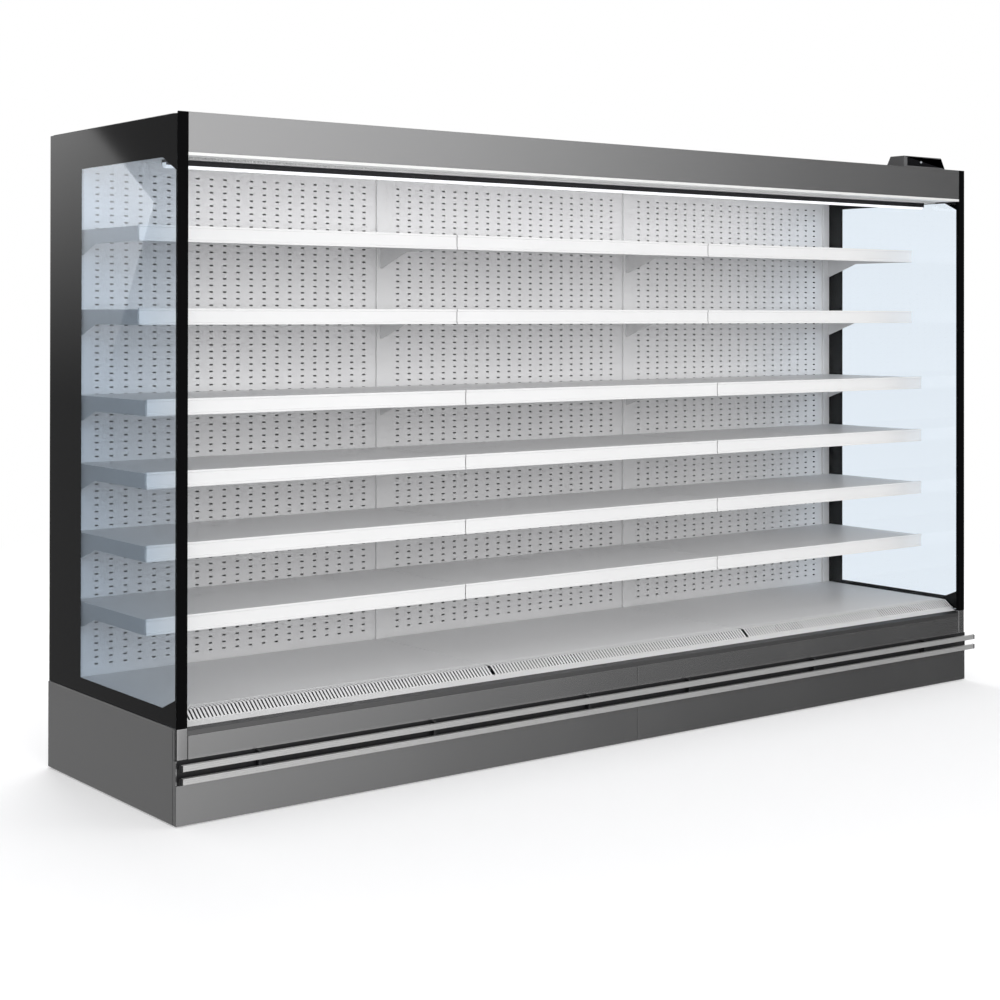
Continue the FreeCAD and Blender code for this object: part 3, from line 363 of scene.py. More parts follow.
eased("base_side_covers", "base_side_cover_sheets", graphite_paint, "graphite_paint", CORNER_EASE)
eased("front_fascia", "front_fascia_sheets", graphite_paint, "graphite_paint", SHEET_EASE)
for kick_plate in ("kick_plate_left", "kick_plate_right"):
    eased(kick_plate, f"{kick_plate}_sheet", graphite_paint, "graphite_paint", SHEET_EASE, body=kick_plate)
eased("end_trims", "end_trim_caps", trim_paint, "trim_paint", CORNER_EASE)

# --------------------------------------------------
# Frame and feet.  Two galvanised beams under the tub, on eight moulded feet with threaded steel stems and a
# lock nut each.
# --------------------------------------------------

GALVANISED = (0.50, 0.52, 0.54)
FOOT_COLUMNS, FOOT_ROWS = 4, 2
FOOT_RADIUS, FOOT_NECK = 0.030, 0.016
FOOT_EDGE, FOOT_RIM, FOOT_HEIGHT = 0.001, 0.006, 0.012
STEM_RADIUS = 0.008
THREAD_DEPTH, THREAD_PITCH = 0.001, 0.002
NUT_RADIUS, NUT_HEIGHT = 0.0125, 0.008


def spun(mesh, profile, sides, centre=(0, 0, 0)):
    """A turned shape: its profile of (radius, height) points carried round an upright axis."""
    rings = []
    for radius, height in profile:
        ring = []
        for step in range(sides):
            angle = 2 * math.pi * step / sides
            spot = Vector((radius * math.cos(angle), radius * math.sin(angle), height)) + Vector(centre)
            ring.append(mesh.verts.new(spot))
        rings.append(ring)
    for lower, upper in zip(rings, rings[1:]):
        for step in range(sides):
            after = (step + 1) % sides
            mesh.faces.new((lower[step], lower[after], upper[after], upper[step]))
    mesh.faces.new(rings[0][::-1])
    mesh.faces.new(rings[-1])
    return mesh


zinc = finish("galvanised", powder_skin, GALVANISED, 0.42, 0.012, 0.00001, metallic=0.85, cloudiness=0.35)
eased("base_beams", "base_beam_pair", zinc, "galvanised", SHEET_EASE)

feet = bmesh.new()
feet_low, feet_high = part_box("levelling_feet")
foot = [
    (FOOT_RADIUS - FOOT_EDGE, 0), (FOOT_RADIUS, FOOT_EDGE), (FOOT_RADIUS, FOOT_RIM), (FOOT_NECK, FOOT_HEIGHT),
]
stem = []
for turn in range(int((feet_high.z - FOOT_HEIGHT) / THREAD_PITCH)):
    base = FOOT_HEIGHT + turn * THREAD_PITCH
    stem += [(STEM_RADIUS - THREAD_DEPTH, base), (STEM_RADIUS, base + THREAD_PITCH / 2)]
stem.append((STEM_RADIUS - THREAD_DEPTH, feet_high.z))
nut = [(NUT_RADIUS, feet_high.z - NUT_HEIGHT), (NUT_RADIUS, feet_high.z)]
for column in range(FOOT_COLUMNS):
    for row in range(FOOT_ROWS):
        x = feet_low.x + FOOT_RADIUS + (feet_high.x - feet_low.x - 2 * FOOT_RADIUS) * column / (FOOT_COLUMNS - 1)
        y = feet_low.y + FOOT_RADIUS + (feet_high.y - feet_low.y - 2 * FOOT_RADIUS) * row
        for profile, sides in ((foot, 32), (stem, 20), (nut, 6)):
            spun(feet, profile, sides, (x, y, 0))
settle(feet, "levelling_feet_set", zinc, "cabinet", "galvanised", "levelling_feet")

# --------------------------------------------------
# Tub and drain.  A foam-filled tub between thin dark skins, open at the top, with a black drain spout
# through its floor.
# --------------------------------------------------

DARK_SKIN = (0.045, 0.045, 0.050)
BLACK = (0.011, 0.011, 0.012)

panel_skin = finish("foam_panel", powder_skin, DARK_SKIN, 0.45, 0.0016, 0.00002)
black_plastic = finish("black_plastic", powder_skin, BLACK, 0.42, 0.0007, 0.00003)
eased("base_tub", "base_tub_shell", panel_skin, "foam_panel", CORNER_EASE)
settle(
    ease(merged("drain_outlet"), 0.0006, 1, 50),
    "drain_spout", black_plastic, "cabinet", "black_plastic", "drain_outlet",
)

# --------------------------------------------------
# Nosing.  A dark grey extrusion along the front edge that leans back at its top, and behind its edge a white
# sill that rises to the return-air grilles.
# --------------------------------------------------

NOSING_GREY = (0.20, 0.20, 0.202)
SILL_WHITE = (0.80, 0.80, 0.80)
NOSING_FACE = 0.015
NOSING_EDGE = 0.018
SILL_RISE = 0.009
SILL_WALL = 0.001
SKIN_DEPTH = 0.020
NOSING_HEEL = 0.007


def rectangle(left, bottom, right, top):
    """The four corners of a rectangle."""
    return [(left, bottom), (right, bottom), (right, top), (left, top)]


def rounded(outline, radius, steps=3):
    """An outline with each corner drawn as a small curve."""
    points = []
    for index, corner in enumerate(outline):
        corner = Vector(corner)
        to_last = Vector(outline[index - 1]) - corner
        to_next = Vector(outline[(index + 1) % len(outline)]) - corner
        turn = math.pi - to_last.angle(to_next)
        reach = min(radius * math.tan(turn / 2), 0.45 * to_last.length, 0.45 * to_next.length)
        start = corner + to_last.normalized() * reach
        stop = corner + to_next.normalized() * reach
        for step in range(steps + 1):
            share = step / steps
            points.append(start.lerp(corner, share).lerp(corner.lerp(stop, share), share))
    return points


def run(mesh, outline, x_start, x_end):
    """A closed profile of (y, z) points run along the fridge, with both ends closed."""
    ends = [[mesh.verts.new((x, y, z)) for y, z in outline] for x in (x_start, x_end)]
    for index in range(len(outline)):
        after = (index + 1) % len(outline)
        mesh.faces.new((ends[0][index], ends[0][after], ends[1][after], ends[1][index]))
    mesh.faces.new(ends[0][::-1])
    mesh.faces.new(ends[1])
    return mesh


nosing_grey = finish("nosing_grey", powder_skin, NOSING_GREY, 0.34, 0.002, 0.00001, metallic=0.92)
sill_white = finish("sill_white", powder_skin, SILL_WHITE, 0.38, 0.0012, 0.00001)
low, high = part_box("nosing_trim")
edge_y, edge_z = low.y + NOSING_EDGE, high.z - SILL_RISE
strip = [
    (low.y, low.z), (low.y, low.z + NOSING_FACE), (edge_y, edge_z), (edge_y, edge_z - SILL_WALL),
    (high.y, high.z - SILL_WALL), (high.y, low.z + NOSING_HEEL), (low.y + SKIN_DEPTH, low.z + NOSING_HEEL),
    (low.y + SKIN_DEPTH, low.z),
]
sill = [(edge_y, edge_z - SILL_WALL), (edge_y, edge_z), (high.y, high.z), (high.y, high.z - SILL_WALL)]
settle(
    run(bmesh.new(), rounded(strip, 0.0008), low.x, high.x),
    "nosing_strip", nosing_grey, "cabinet", "nosing_grey", "nosing_trim",
)
settle(
    run(bmesh.new(), rounded(sill, 0.0003, 2), low.x, high.x), "nosing_sill", sill_white, "cabinet", "nosing_grey"
)

# --------------------------------------------------
# Bumper.  Two satin aluminium bars with fine ridges, held off a black backing by small black brackets, with
# black plugs in their ends; the backing ends in graphite at both sides.
# --------------------------------------------------

ALUMINIUM = (0.76, 0.76, 0.755)
RAIL_HEIGHT, RAIL_CORNER = 0.020, 0.002
RAIL_RIDGES, RIDGE_DEPTH = 3, 0.0008
RIDGE_FOOT, RIDGE_TOP = 0.9, 0.6
GROOVE_SHARE, GROOVE_DEPTH = 0.2, 0.006
BACKING_END = 0.003

brushed_skin = surface_effect("brushed_skin", (0.02, 1, 1))
rail_silver = finish("rail_silver", brushed_skin, ALUMINIUM, 0.30, 0.0006, 0.00002, metallic=0.7)

low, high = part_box("bumper_rails")
rails = bmesh.new()
for bottom in (low.z, high.z - RAIL_HEIGHT):
    front_face = []
    for ridge in range(RAIL_RIDGES):
        middle = bottom + RAIL_HEIGHT * (ridge + 0.5) / RAIL_RIDGES
        step = RAIL_HEIGHT / RAIL_RIDGES / 2
        front_face += [(low.y + RIDGE_DEPTH, middle - step * RIDGE_FOOT), (low.y, middle - step * RIDGE_TOP)]
        front_face += [(low.y, middle + step * RIDGE_TOP), (low.y + RIDGE_DEPTH, middle + step * RIDGE_FOOT)]
    top, middle, groove = bottom + RAIL_HEIGHT, bottom + RAIL_HEIGHT / 2, RAIL_HEIGHT * GROOVE_SHARE
    back_face = [
        (high.y, top), (high.y, middle + groove), (high.y - GROOVE_DEPTH, middle + groove),
        (high.y - GROOVE_DEPTH, middle - groove), (high.y, middle - groove), (high.y, bottom),
    ]
    outline = [(low.y + RAIL_CORNER, bottom), *front_face, (low.y + RAIL_CORNER, top), *back_face]
    run(rails, rounded(outline, 0.0006, 2), low.x, high.x)
settle(rails, "bumper_bars", rail_silver, "cabinet", "rail_silver", "bumper_rails")
eased("rail_end_caps", "bumper_bar_plugs", black_plastic, "black_plastic", 0.002)
eased("bumper_brackets", "bumper_bar_brackets", black_plastic, "black_plastic", 0.0015)
# The backing is black plastic, and its black band above the upper bar and between the bars is also painted shade:
# it stands in for the shadow there.
low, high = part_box("bumper_backing")
backing = rounded(rectangle(low.y, low.z, high.y, high.z), 0.001)
settle(
    run(bmesh.new(), backing, low.x + BACKING_END, high.x - BACKING_END),
    "bumper_backing_strip", black_plastic, "cabinet", "black_plastic", "bumper_backing",
)
ends = bmesh.new()
for x in (low.x, high.x - BACKING_END):
    run(ends, backing, x, x + BACKING_END)
settle(ends, "bumper_backing_ends", graphite_paint, "cabinet", "graphite_paint")

# --------------------------------------------------
# Deck.  Galvanised supports carry three lift-out return-air grilles, folded from sheet with slots cut through
# their sloping face and over its crest, and three lift-out pans, all powder-coated white.
# --------------------------------------------------

MODULES = ("left", "middle", "right")
PAINT_WHITE = (0.82, 0.82, 0.825)
SHEET = 0.0015
GRILLE_FOOT = 0.014
GRILLE_SLOPE = math.radians(38)
GRILLE_MARGIN = 0.003
GRILLE_REACH = 0.025
GRILLE_TURN = 0.030
GRILLE_BAR = 0.0078
GRILLE_PITCH = 0.0138
PAN_EASE = 0.0015


def dress(node, paint):
    """Gives a CAD piece that keeps its own shape a finish."""
    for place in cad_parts[node].material_slots:
        place.material = paint


def folded(path, wall):
    """The outline of a sheet bent along a path of points, with its thickness on the path's left."""
    path = [Vector(point) for point in path]
    inner = []
    for index, corner in enumerate(path):
        into = corner - path[index - 1] if index else path[1] - corner
        away = path[index + 1] - corner if index + 1 < len(path) else into
        sides = [Vector((-run_way.y, run_way.x)).normalized() for run_way in (into, away)]
        mitre = (sides[0] + sides[1]).normalized()
        inner.append(corner + mitre * wall / mitre.dot(sides[0]))
    return path + inner[::-1]


def copies_tree():
    """Geometry nodes that repeat a unit in a row, and the row itself in rows."""
    tree = bpy.data.node_groups.new("rows_of_copies", "GeometryNodeTree")
    sizes = [
        ("Unit", "NodeSocketGeometry"),
        ("Count", "NodeSocketInt"),
        ("Step", "NodeSocketVector"),
        ("Rows", "NodeSocketInt"),
        ("Row Step", "NodeSocketVector"),
        ("Finish", "NodeSocketMaterial"),
    ]
    for label, kind in sizes:
        tree.interface.new_socket(label, in_out="INPUT", socket_type=kind)
    tree.interface.new_socket("Copies", in_out="OUTPUT", socket_type="NodeSocketGeometry")
    start = add_node(tree, "NodeGroupInput").outputs
    unit = start["Unit"]
    for count, step in (("Count", "Step"), ("Rows", "Row Step")):
        places = add_node(tree, "GeometryNodeMeshLine", mode="OFFSET", Count=start[count], Offset=start[step])
        unit = add_node(tree, "GeometryNodeInstanceOnPoints", Points=places, Instance=unit)
    realised = add_node(tree, "GeometryNodeRealizeInstances", unit)
    painted = add_node(tree, "GeometryNodeSetMaterial", realised, Material=start["Finish"])
    add_node(tree, "NodeGroupOutput", painted)
    return tree


rows_of_copies = copies_tree()


def repeated(unit, paint, count, step, rows=1, row_step=(0.0, 0.0, 0.0)):
    """The unit's copies in a row or in rows, as one mesh."""
    return shaped(
        block(unit), "NODES", tree=rows_of_copies,
        count=count, step=step, rows=rows, row_step=row_step, finish=paint,
    )


white_paint = finish("white_paint", powder_skin, PAINT_WHITE, 0.42, 0.0012, 0.000015)
dress("deck_supports", zinc)
for module in MODULES:
    name = f"return_grille_{module}"
    low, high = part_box(name)
    knee = Vector((low.y, low.z + GRILLE_FOOT))
    crest = Vector((low.y + (high.z - knee.y) / math.tan(GRILLE_SLOPE), high.z))
    margin = (crest - knee).normalized() * GRILLE_MARGIN
    reach = crest + Vector((GRILLE_REACH, 0))
    grille = bmesh.new()
    foot = folded([knee + margin, knee, (low.y, low.z)], SHEET)
    flat = folded([(high.y, low.z + GRILLE_TURN), (high.y, high.z), reach], SHEET)
    for outline in (foot, flat):
        run(grille, rounded(outline, 0.0008, 2), low.x, high.x)
    count = int((high.x - low.x) / GRILLE_PITCH)
    first = (low.x + high.x - GRILLE_PITCH * (count - 1) - GRILLE_BAR) / 2
    bar = run(bmesh.new(), folded([reach, crest, knee], SHEET), first, first + GRILLE_BAR)
    grille.from_mesh(repeated(bar, white_paint, count, (GRILLE_PITCH, 0.0, 0.0)))
    settle(grille, f"{name}_sheet", white_paint, name, "deck_steel", name)
    pan = f"deck_pan_{module}"
    eased(pan, f"{pan}_sheet", white_paint, "deck_steel", PAN_EASE, body=pan)

# --------------------------------------------------
# Rear duct.  A foamed rear wall with a grey lining, four slotted white posts that carry the shelves, and
# between them white panels punched with small slots, through which the cold air blows.
# --------------------------------------------------

PANEL_SLOT = (0.016, 0.0055)
DUCT_GREY = (0.45, 0.45, 0.455)
LINING = 0.001
PANEL_PITCH = (0.055, 0.024)
PANEL_MARGIN = 0.040
PUNCH_REACH = 0.005
MODULE_GAP = 0.002


def punched(mesh, cutters):
    """The mesh with the cutters' shapes taken out of it."""
    tool = bpy.data.objects.new("cutters", cutters)
    scene.collection.objects.link(tool)
    result = shaped(block(mesh), "BOOLEAN", object=tool, operation="DIFFERENCE", solver="MANIFOLD")
    bpy.data.objects.remove(tool)
    whole = bmesh.new()
    whole.from_mesh(result)
    return whole


def prism(outline, start, stop, axis):
    """A closed outline carried along an axis: (x, z) points along Y, or (x, y) points along Z."""
    mesh = bmesh.new()
    ends = []
    for level in (start, stop):
        spots = [(u, level, v) if axis == "Y" else (u, v, level) for u, v in outline]
        ends.append([mesh.verts.new(spot) for spot in spots])
    for index in range(len(outline)):
        after = (index + 1) % len(outline)
        mesh.faces.new((ends[0][index], ends[0][after], ends[1][after], ends[1][index]))
    mesh.faces.new(ends[0][::-1])
    mesh.faces.new(ends[1])
    bmesh.ops.recalc_face_normals(mesh, faces=mesh.faces)
    return mesh


eased("rear_wall", "rear_wall_panel", panel_skin, "foam_panel", CORNER_EASE)
dress("wall_posts", white_paint)
duct_grey = finish("duct_grey", powder_skin, DUCT_GREY, 0.6, 0.002, 0.00001)
low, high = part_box("back_panels")
wall_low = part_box("rear_wall")[0]
lining = prism(rectangle(low.x, wall_low.y - LINING, high.x, wall_low.y), low.z, high.z, "Z")
settle(lining, "duct_lining", duct_grey, "cabinet", "inner_white")
for index, module in enumerate(MODULES):
    low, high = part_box("back_panels")
    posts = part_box("wall_posts")
    post_width = low.x - posts[0].x
    pan_low, pan_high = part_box(f"deck_pan_{module}")
    left = low.x if index == 0 else pan_low.x - MODULE_GAP + post_width / 2
    right = high.x if index == len(MODULES) - 1 else pan_high.x + MODULE_GAP - post_width / 2
    outline = folded([(right, high.y), (right, low.y), (left, low.y), (left, high.y)], -SHEET)
    sheet = prism(rounded(outline, 0.001, 2), low.z, high.z, "Z")
    columns = int((right - left - 2 * PANEL_MARGIN) / PANEL_PITCH[0]) + 1
    rows = int((high.z - low.z - 2 * PANEL_MARGIN) / PANEL_PITCH[1]) + 1
    first_x = (left + right - PANEL_PITCH[0] * (columns - 1)) / 2
    first_z = (low.z + high.z - PANEL_PITCH[1] * (rows - 1)) / 2
    half_x, half_z = PANEL_SLOT[0] / 2, PANEL_SLOT[1] / 2
    corners = rectangle(first_x - half_x, first_z - half_z, first_x + half_x, first_z + half_z)
    slot = prism(rounded(corners, half_z * 0.8, 1), low.y - PUNCH_REACH, low.y + PUNCH_REACH, "Y")
    slots = repeated(slot, white_paint, columns, (PANEL_PITCH[0], 0.0, 0.0), rows, (0.0, 0.0, PANEL_PITCH[1]))
    stands_for = ("back_panels",) if index == 0 else ()
    settle(
        punched(sheet, slots), f"back_panel_{module}_sheet", white_paint, "cabinet", "inner_white", *stands_for
    )

# --------------------------------------------------
# Canopy.  A foamed roof behind a front face of graphite steel; under it a pale lip, a honeycomb air outlet
# and a white ceiling liner.
# --------------------------------------------------

HONEYCOMB_CELL = 0.0052
HONEYCOMB_PITCH = 0.012
HONEYCOMB_START = (0.75, 0.9)
HONEYCOMB_REACH = 0.002
THIN_EASE = 0.0006

lip_silver = finish("lip_silver", powder_skin, (0.84, 0.84, 0.83), 0.32, 0.002, 0.00001, metallic=0.2)
eased("roof_panel", "roof_panel_shell", panel_skin, "foam_panel", CORNER_EASE)
eased("canopy_fascia", "canopy_fascia_sheet", graphite_paint, "graphite_paint", SHEET_EASE)
eased("canopy_lip", "canopy_lip_strip", lip_silver, "inner_white", THIN_EASE)
eased("ceiling_liner", "ceiling_liner_sheet", white_paint, "inner_white", THIN_EASE)
honeycomb_plastic = finish("honeycomb_plastic", powder_skin, (0.80, 0.80, 0.79), 0.45, 0.001, 0.00001)
low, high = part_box("air_outlet")
slab = prism(rectangle(low.x, low.y, high.x, high.y), low.z, high.z, "Z")
turns = [math.radians(60 * k + 30) for k in range(6)]
cells = bmesh.new()
row_pitch = HONEYCOMB_PITCH * math.sin(math.radians(60))
cell_columns = int((high.x - low.x) / HONEYCOMB_PITCH) - 1
cell_rows = int((high.y - low.y) / row_pitch / 2)
for offset in (0, 1):
    start_x = low.x + HONEYCOMB_PITCH * (HONEYCOMB_START[0] + offset / 2)
    start_y = low.y + row_pitch * (HONEYCOMB_START[1] + offset)
    outline = [(start_x + HONEYCOMB_CELL * math.cos(a), start_y + HONEYCOMB_CELL * math.sin(a)) for a in turns]
    cell = prism(outline, low.z - HONEYCOMB_REACH, high.z + HONEYCOMB_REACH, "Z")
    across, back = (HONEYCOMB_PITCH, 0.0, 0.0), (0.0, 2 * row_pitch, 0.0)
    cells.from_mesh(repeated(cell, honeycomb_plastic, cell_columns, across, cell_rows, back))
settle(
    punched(slab, block(cells)), "air_outlet_honeycomb", honeycomb_plastic, "cabinet", "outlet_white", "air_outlet"
)

# --------------------------------------------------
# Lamp.  A slim black-anodised channel under the ceiling along the whole front, with an opal diffuser.
# --------------------------------------------------

LAMP_GLOW = 0.6
LAMP_COLOUR = (0.97, 0.98, 1.0, 1)

lamp_black = finish("lamp_black", brushed_skin, (0.03, 0.03, 0.033), 0.35, 0.001, 0.00001, metallic=0.5)
eased("lamp_housing", "lamp_channel", lamp_black, "rail_silver", 0.0005)
opal = finish("opal_diffuser", powder_skin, (0.85, 0.86, 0.88), 0.35, 0.001, 0.00001)
feed(opal.node_tree.nodes["Principled BSDF"], Emission_Color=LAMP_COLOUR, Emission_Strength=LAMP_GLOW)
eased("lamp_diffuser", "lamp_opal_cover", opal, "lamp_white", 0.003, 3)

# --------------------------------------------------
# End walls.  A pane of tempered glass at each end, printed glossy black round a clear window, and held in
# front by a full-height black profile.
# --------------------------------------------------

GLASS_TINT = (0.797, 0.872, 0.946, 1)
GLASS_INDEX, GLASS_GLOSS, GLASS_HAZE = 1.45, 0.15, 0.02
SMEAR_SCALE = 2.3
PRINT_THICKNESS = 0.0002
PRINT_INSET = 0.001
WINDOW_FRONT, WINDOW_REAR = 0.007, 0.694
WINDOW_LOW, WINDOW_HIGH = 0.052, 1.783
LOW_CHAMFER = (0.036, 0.085)
HIGH_CHAMFER = (0.045, 0.090)
PROFILE_DEPTH = 0.016

end_glass = bpy.data.materials.new("end_glass")
end_glass.use_nodes = True
tree = end_glass.node_tree
where = add_node(tree, "ShaderNodeTexCoord").outputs["Object"]
smears = add_node(tree, "ShaderNodeTexNoise", where, Scale=SMEAR_SCALE, Detail=5.0)
clear = feed(
    tree.nodes["Principled BSDF"], Base_Color=GLASS_TINT, Transmission_Weight=1.0, IOR=GLASS_INDEX,
    Specular_IOR_Level=GLASS_GLOSS, Roughness=add_node(tree, "ShaderNodeMapRange", smears, To_Max=GLASS_HAZE),
)
rays = add_node(tree, "ShaderNodeLightPath").outputs
let_through = add_node(tree, "ShaderNodeBsdfTransparent", GLASS_TINT)
feed(
    tree.nodes["Material Output"],
    add_node(tree, "ShaderNodeMixShader", rays["Is Shadow Ray"], clear, let_through),
)
eased("end_glass", "end_glass_panes", end_glass, "end_glazing", 0.001)

printed_black = finish(
    "printed_black", powder_skin, (0.006, 0.006, 0.0065), 0.06, 0.3, 0.0, gloss=0.15, cloudiness=0.02, spread=0.01
)
low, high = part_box("end_glass")
front, rear = low.y + WINDOW_FRONT, low.y + WINDOW_REAR
bottom, top = low.z + WINDOW_LOW, low.z + WINDOW_HIGH
window = [
    (front + LOW_CHAMFER[1], bottom),
    (rear, bottom),
    (rear, top),
    (front + HIGH_CHAMFER[1], top),
    (front, top - HIGH_CHAMFER[0]),
    (front, bottom + LOW_CHAMFER[0]),
]
border = bmesh.new()
edge = rectangle(low.y + PRINT_INSET, low.z + PRINT_INSET, high.y - PRINT_INSET, high.z - PRINT_INSET)
for x in (low.x - PRINT_THICKNESS, high.x):
    rings = []
    for level in (x, x + PRINT_THICKNESS):
        outer = [border.verts.new((level, y, z)) for y, z in edge]
        inner = [border.verts.new((level, y, z)) for y, z in window]
        rings.append((outer, inner))
    for outer, inner in rings:
        border.faces.new((outer[0], outer[1], inner[1], inner[0]))
        border.faces.new((outer[1], outer[2], inner[2], inner[1]))
        border.faces.new((outer[2], outer[3], inner[3], inner[2]))
        border.faces.new((outer[3], inner[4], inner[3]))
        border.faces.new((outer[3], outer[0], inner[5], inner[4]))
        border.faces.new((outer[0], inner[0], inner[5]))
    for near, far in zip(*rings):
        for k in range(len(near)):
            after = (k + 1) % len(near)
            border.faces.new((near[k], near[after], far[after], far[k]))
settle(border, "end_glass_borders", printed_black, "cabinet", "black_frame")

profile_black = finish("profile_black", powder_skin, (0.003, 0.003, 0.0033), 0.35, 0.001, 0.00001, gloss=0.02)
low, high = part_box("end_profiles")
profiles = merged("end_profiles")
# The clear glass starts right behind the profile, so its block is drawn shallower than in the solids.
for corner in profiles.verts:
    if corner.co.y > low.y + PROFILE_DEPTH:
        corner.co.y = low.y + PROFILE_DEPTH
settle(ease(profiles, 0.001), "end_profile_bars", profile_black, "cabinet", "black_frame", "end_profiles")

# --------------------------------------------------
# Shelves.  Six rows of three white steel shelves, each a folded pan between two brackets that hook into the
# posts, with a white price rail clipped along its front.
# --------------------------------------------------

TIERS = (1, 2, 3, 4, 5, 6)
BRACKET_THICKNESS = 0.003
BRACKET_FRONT, BRACKET_REAR = 0.050, 0.110
BRACKET_KNEE, BRACKET_HEEL = 0.170, 0.012
HOOK_DEPTH = 0.011
HOOK_DROP = 0.0295
HOOK_HEIGHT = 0.0135
HOOK_FINGER, HOOK_FINGER_DROP = 0.006, 0.009
TAB_PITCH, TAB_REACH = 0.050, 0.008
RAIL_DEPTH, RAIL_LIP, PRICE_RAIL_HEIGHT = 0.012, 0.012, 0.054
PAN_DROP, PAN_LIP, PAN_TURN, PAN_REAR_GAP = 0.004, 0.032, 0.012, 0.014
LABEL_EDGE, LABEL_DEPTH = 0.007, 0.002

rail_plastic = finish("price_rail_plastic", powder_skin, (0.80, 0.80, 0.80), 0.30, 0.0008, 0.000008)


def bracket_side(front, post):
    """The side of a hook-on bracket, below the shelf's top: y along, z up from the top."""
    top = -PAN_DROP
    hook = -HOOK_DROP
    tab = hook - TAB_PITCH
    finger = post + HOOK_DEPTH
    return [
        (front, top),
        (front, top - BRACKET_FRONT),
        (post - BRACKET_KNEE, top - BRACKET_FRONT),
        (post, top - BRACKET_REAR),
        (post, tab),
        (post + TAB_REACH, tab),
        (post + TAB_REACH, tab + HOOK_HEIGHT),
        (post, tab + HOOK_HEIGHT),
        (post, hook),
        (finger - HOOK_FINGER, hook),
        (finger - HOOK_FINGER, hook - HOOK_FINGER_DROP),
        (finger, hook - HOOK_FINGER_DROP),
        (finger, hook + HOOK_HEIGHT),
        (post, hook + HOOK_HEIGHT),
        (post - BRACKET_HEEL, top),
    ]


def shelf_pan(left, right, front, rear, top):
    """A sheet folded down on all four sides, with the lower edges turned in."""
    mesh = bmesh.new()
    outline = rectangle(left, front, right, rear)
    rings = []
    for inset, level in ((0, top), (0, top - PAN_LIP), (PAN_TURN, top - PAN_LIP)):
        ring = []
        for (x, y), (to_x, to_y) in zip(outline, ((1, 1), (-1, 1), (-1, -1), (1, -1))):
            ring.append(mesh.verts.new((x + inset * to_x, y + inset * to_y, level)))
        rings.append(ring)
    mesh.faces.new(rings[0])
    for upper, lower in zip(rings, rings[1:]):
        for k in range(4):
            after = (k + 1) % 4
            mesh.faces.new((upper[k], lower[k], lower[after], upper[after]))
    bmesh.ops.recalc_face_normals(mesh, faces=mesh.faces)
    if mesh.faces[0].normal.z < 0:
        bmesh.ops.reverse_faces(mesh, faces=mesh.faces)
    wall = shaped(block(mesh), "SOLIDIFY", thickness=SHEET, offset=-1.0, use_even_offset=True)
    solid = bmesh.new()
    solid.from_mesh(wall)
    return ease(solid, 0.0007, 2)


for tier in TIERS:
    for module in MODULES:
        name = f"shelf_{tier}_{module}"
        low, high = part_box(name)
        post = high.y - HOOK_DEPTH
        rail_rear = low.y + RAIL_DEPTH
        side = [(y, high.z + z) for y, z in bracket_side(rail_rear, post)]
        steel = shelf_pan(
            low.x + BRACKET_THICKNESS, high.x - BRACKET_THICKNESS,
            rail_rear, post - PAN_REAR_GAP, high.z - PAN_DROP,
        )
        for x in (low.x, high.x - BRACKET_THICKNESS):
            run(steel, rounded(side, 0.0025, 2), x, x + BRACKET_THICKNESS)
        settle(steel, f"{name}_steel", white_paint, name, "shelf_white", name)
        bottom = high.z - PRICE_RAIL_HEIGHT
        groove_y, groove_z = low.y + LABEL_DEPTH, LABEL_EDGE + LABEL_DEPTH
        path = [
            (rail_rear, bottom + RAIL_LIP), (rail_rear, bottom), (low.y, bottom), (low.y, bottom + LABEL_EDGE),
            (groove_y, bottom + groove_z), (groove_y, high.z - groove_z), (low.y, high.z - LABEL_EDGE),
            (low.y, high.z), (rail_rear, high.z), (rail_rear, high.z - RAIL_LIP),
        ]
        rail = run(bmesh.new(), rounded(folded(path, -SHEET), 0.0008, 2), low.x, high.x)
        settle(rail, f"{name}_price_rail", rail_plastic, name, "shelf_white")

# --------------------------------------------------
# Fans.  Under the deck a galvanised sloping plate in each module carries a motor, a black pressed impeller
# and a black wire guard.
# --------------------------------------------------

FAN_TILT = math.radians(38)
FAN_Y = -0.075
FAN_Z = 0.20743
BLADES = 5
HUB_RADIUS, TIP_RADIUS = 0.026, 0.074
HUB_TOP, HUB_HEIGHT = -0.006, 0.024
SHAFT_RADIUS, BORE_RADIUS = 0.0040, 0.0045
BLADE_PITCH, BLADE_TWIST = 38, 12
BLADE_CHORD, BLADE_FLARE = 0.030, 0.010
BLADE_ROOT, BLADE_CAMBER, BLADE_HALF, BLADE_SWEEP = 0.002, 0.003, 0.0008, 0.12
GUARD_RADIUS, GUARD_HUB, GUARD_OPEN = 0.094, 0.033, 0.080
GUARD_FACE, GUARD_WIRE, GUARD_RIB = 0.0025, 0.0012, 0.003
GUARD_RINGS, GUARD_RIBS = 5, 6
RIB_OVERLAP, RIB_HALF = 0.002, 0.001
FLANGE_BACK, FLANGE_RIM, FLANGE_FRONT = 0.0011, 0.003, 0.004
MOTOR_RADIUS, MOTOR_FOOT = 0.030, 0.004
MOTOR_STEPS = [(0.002, 0.0), (0.0, 0.002), (0.0, 0.030), (0.004, 0.034), (0.006, 0.042), (0.010, 0.046)]


def tilted(mesh, module):
    """Leans a fan piece, made about its own axis, into its place in a module."""
    low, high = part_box(f"return_grille_{module}")
    place = Matrix.Translation(((low.x + high.x) / 2, FAN_Y, FAN_Z)) @ Matrix.Rotation(FAN_TILT, 4, "X")
    bmesh.ops.transform(mesh, matrix=place, verts=mesh.verts)
    return mesh


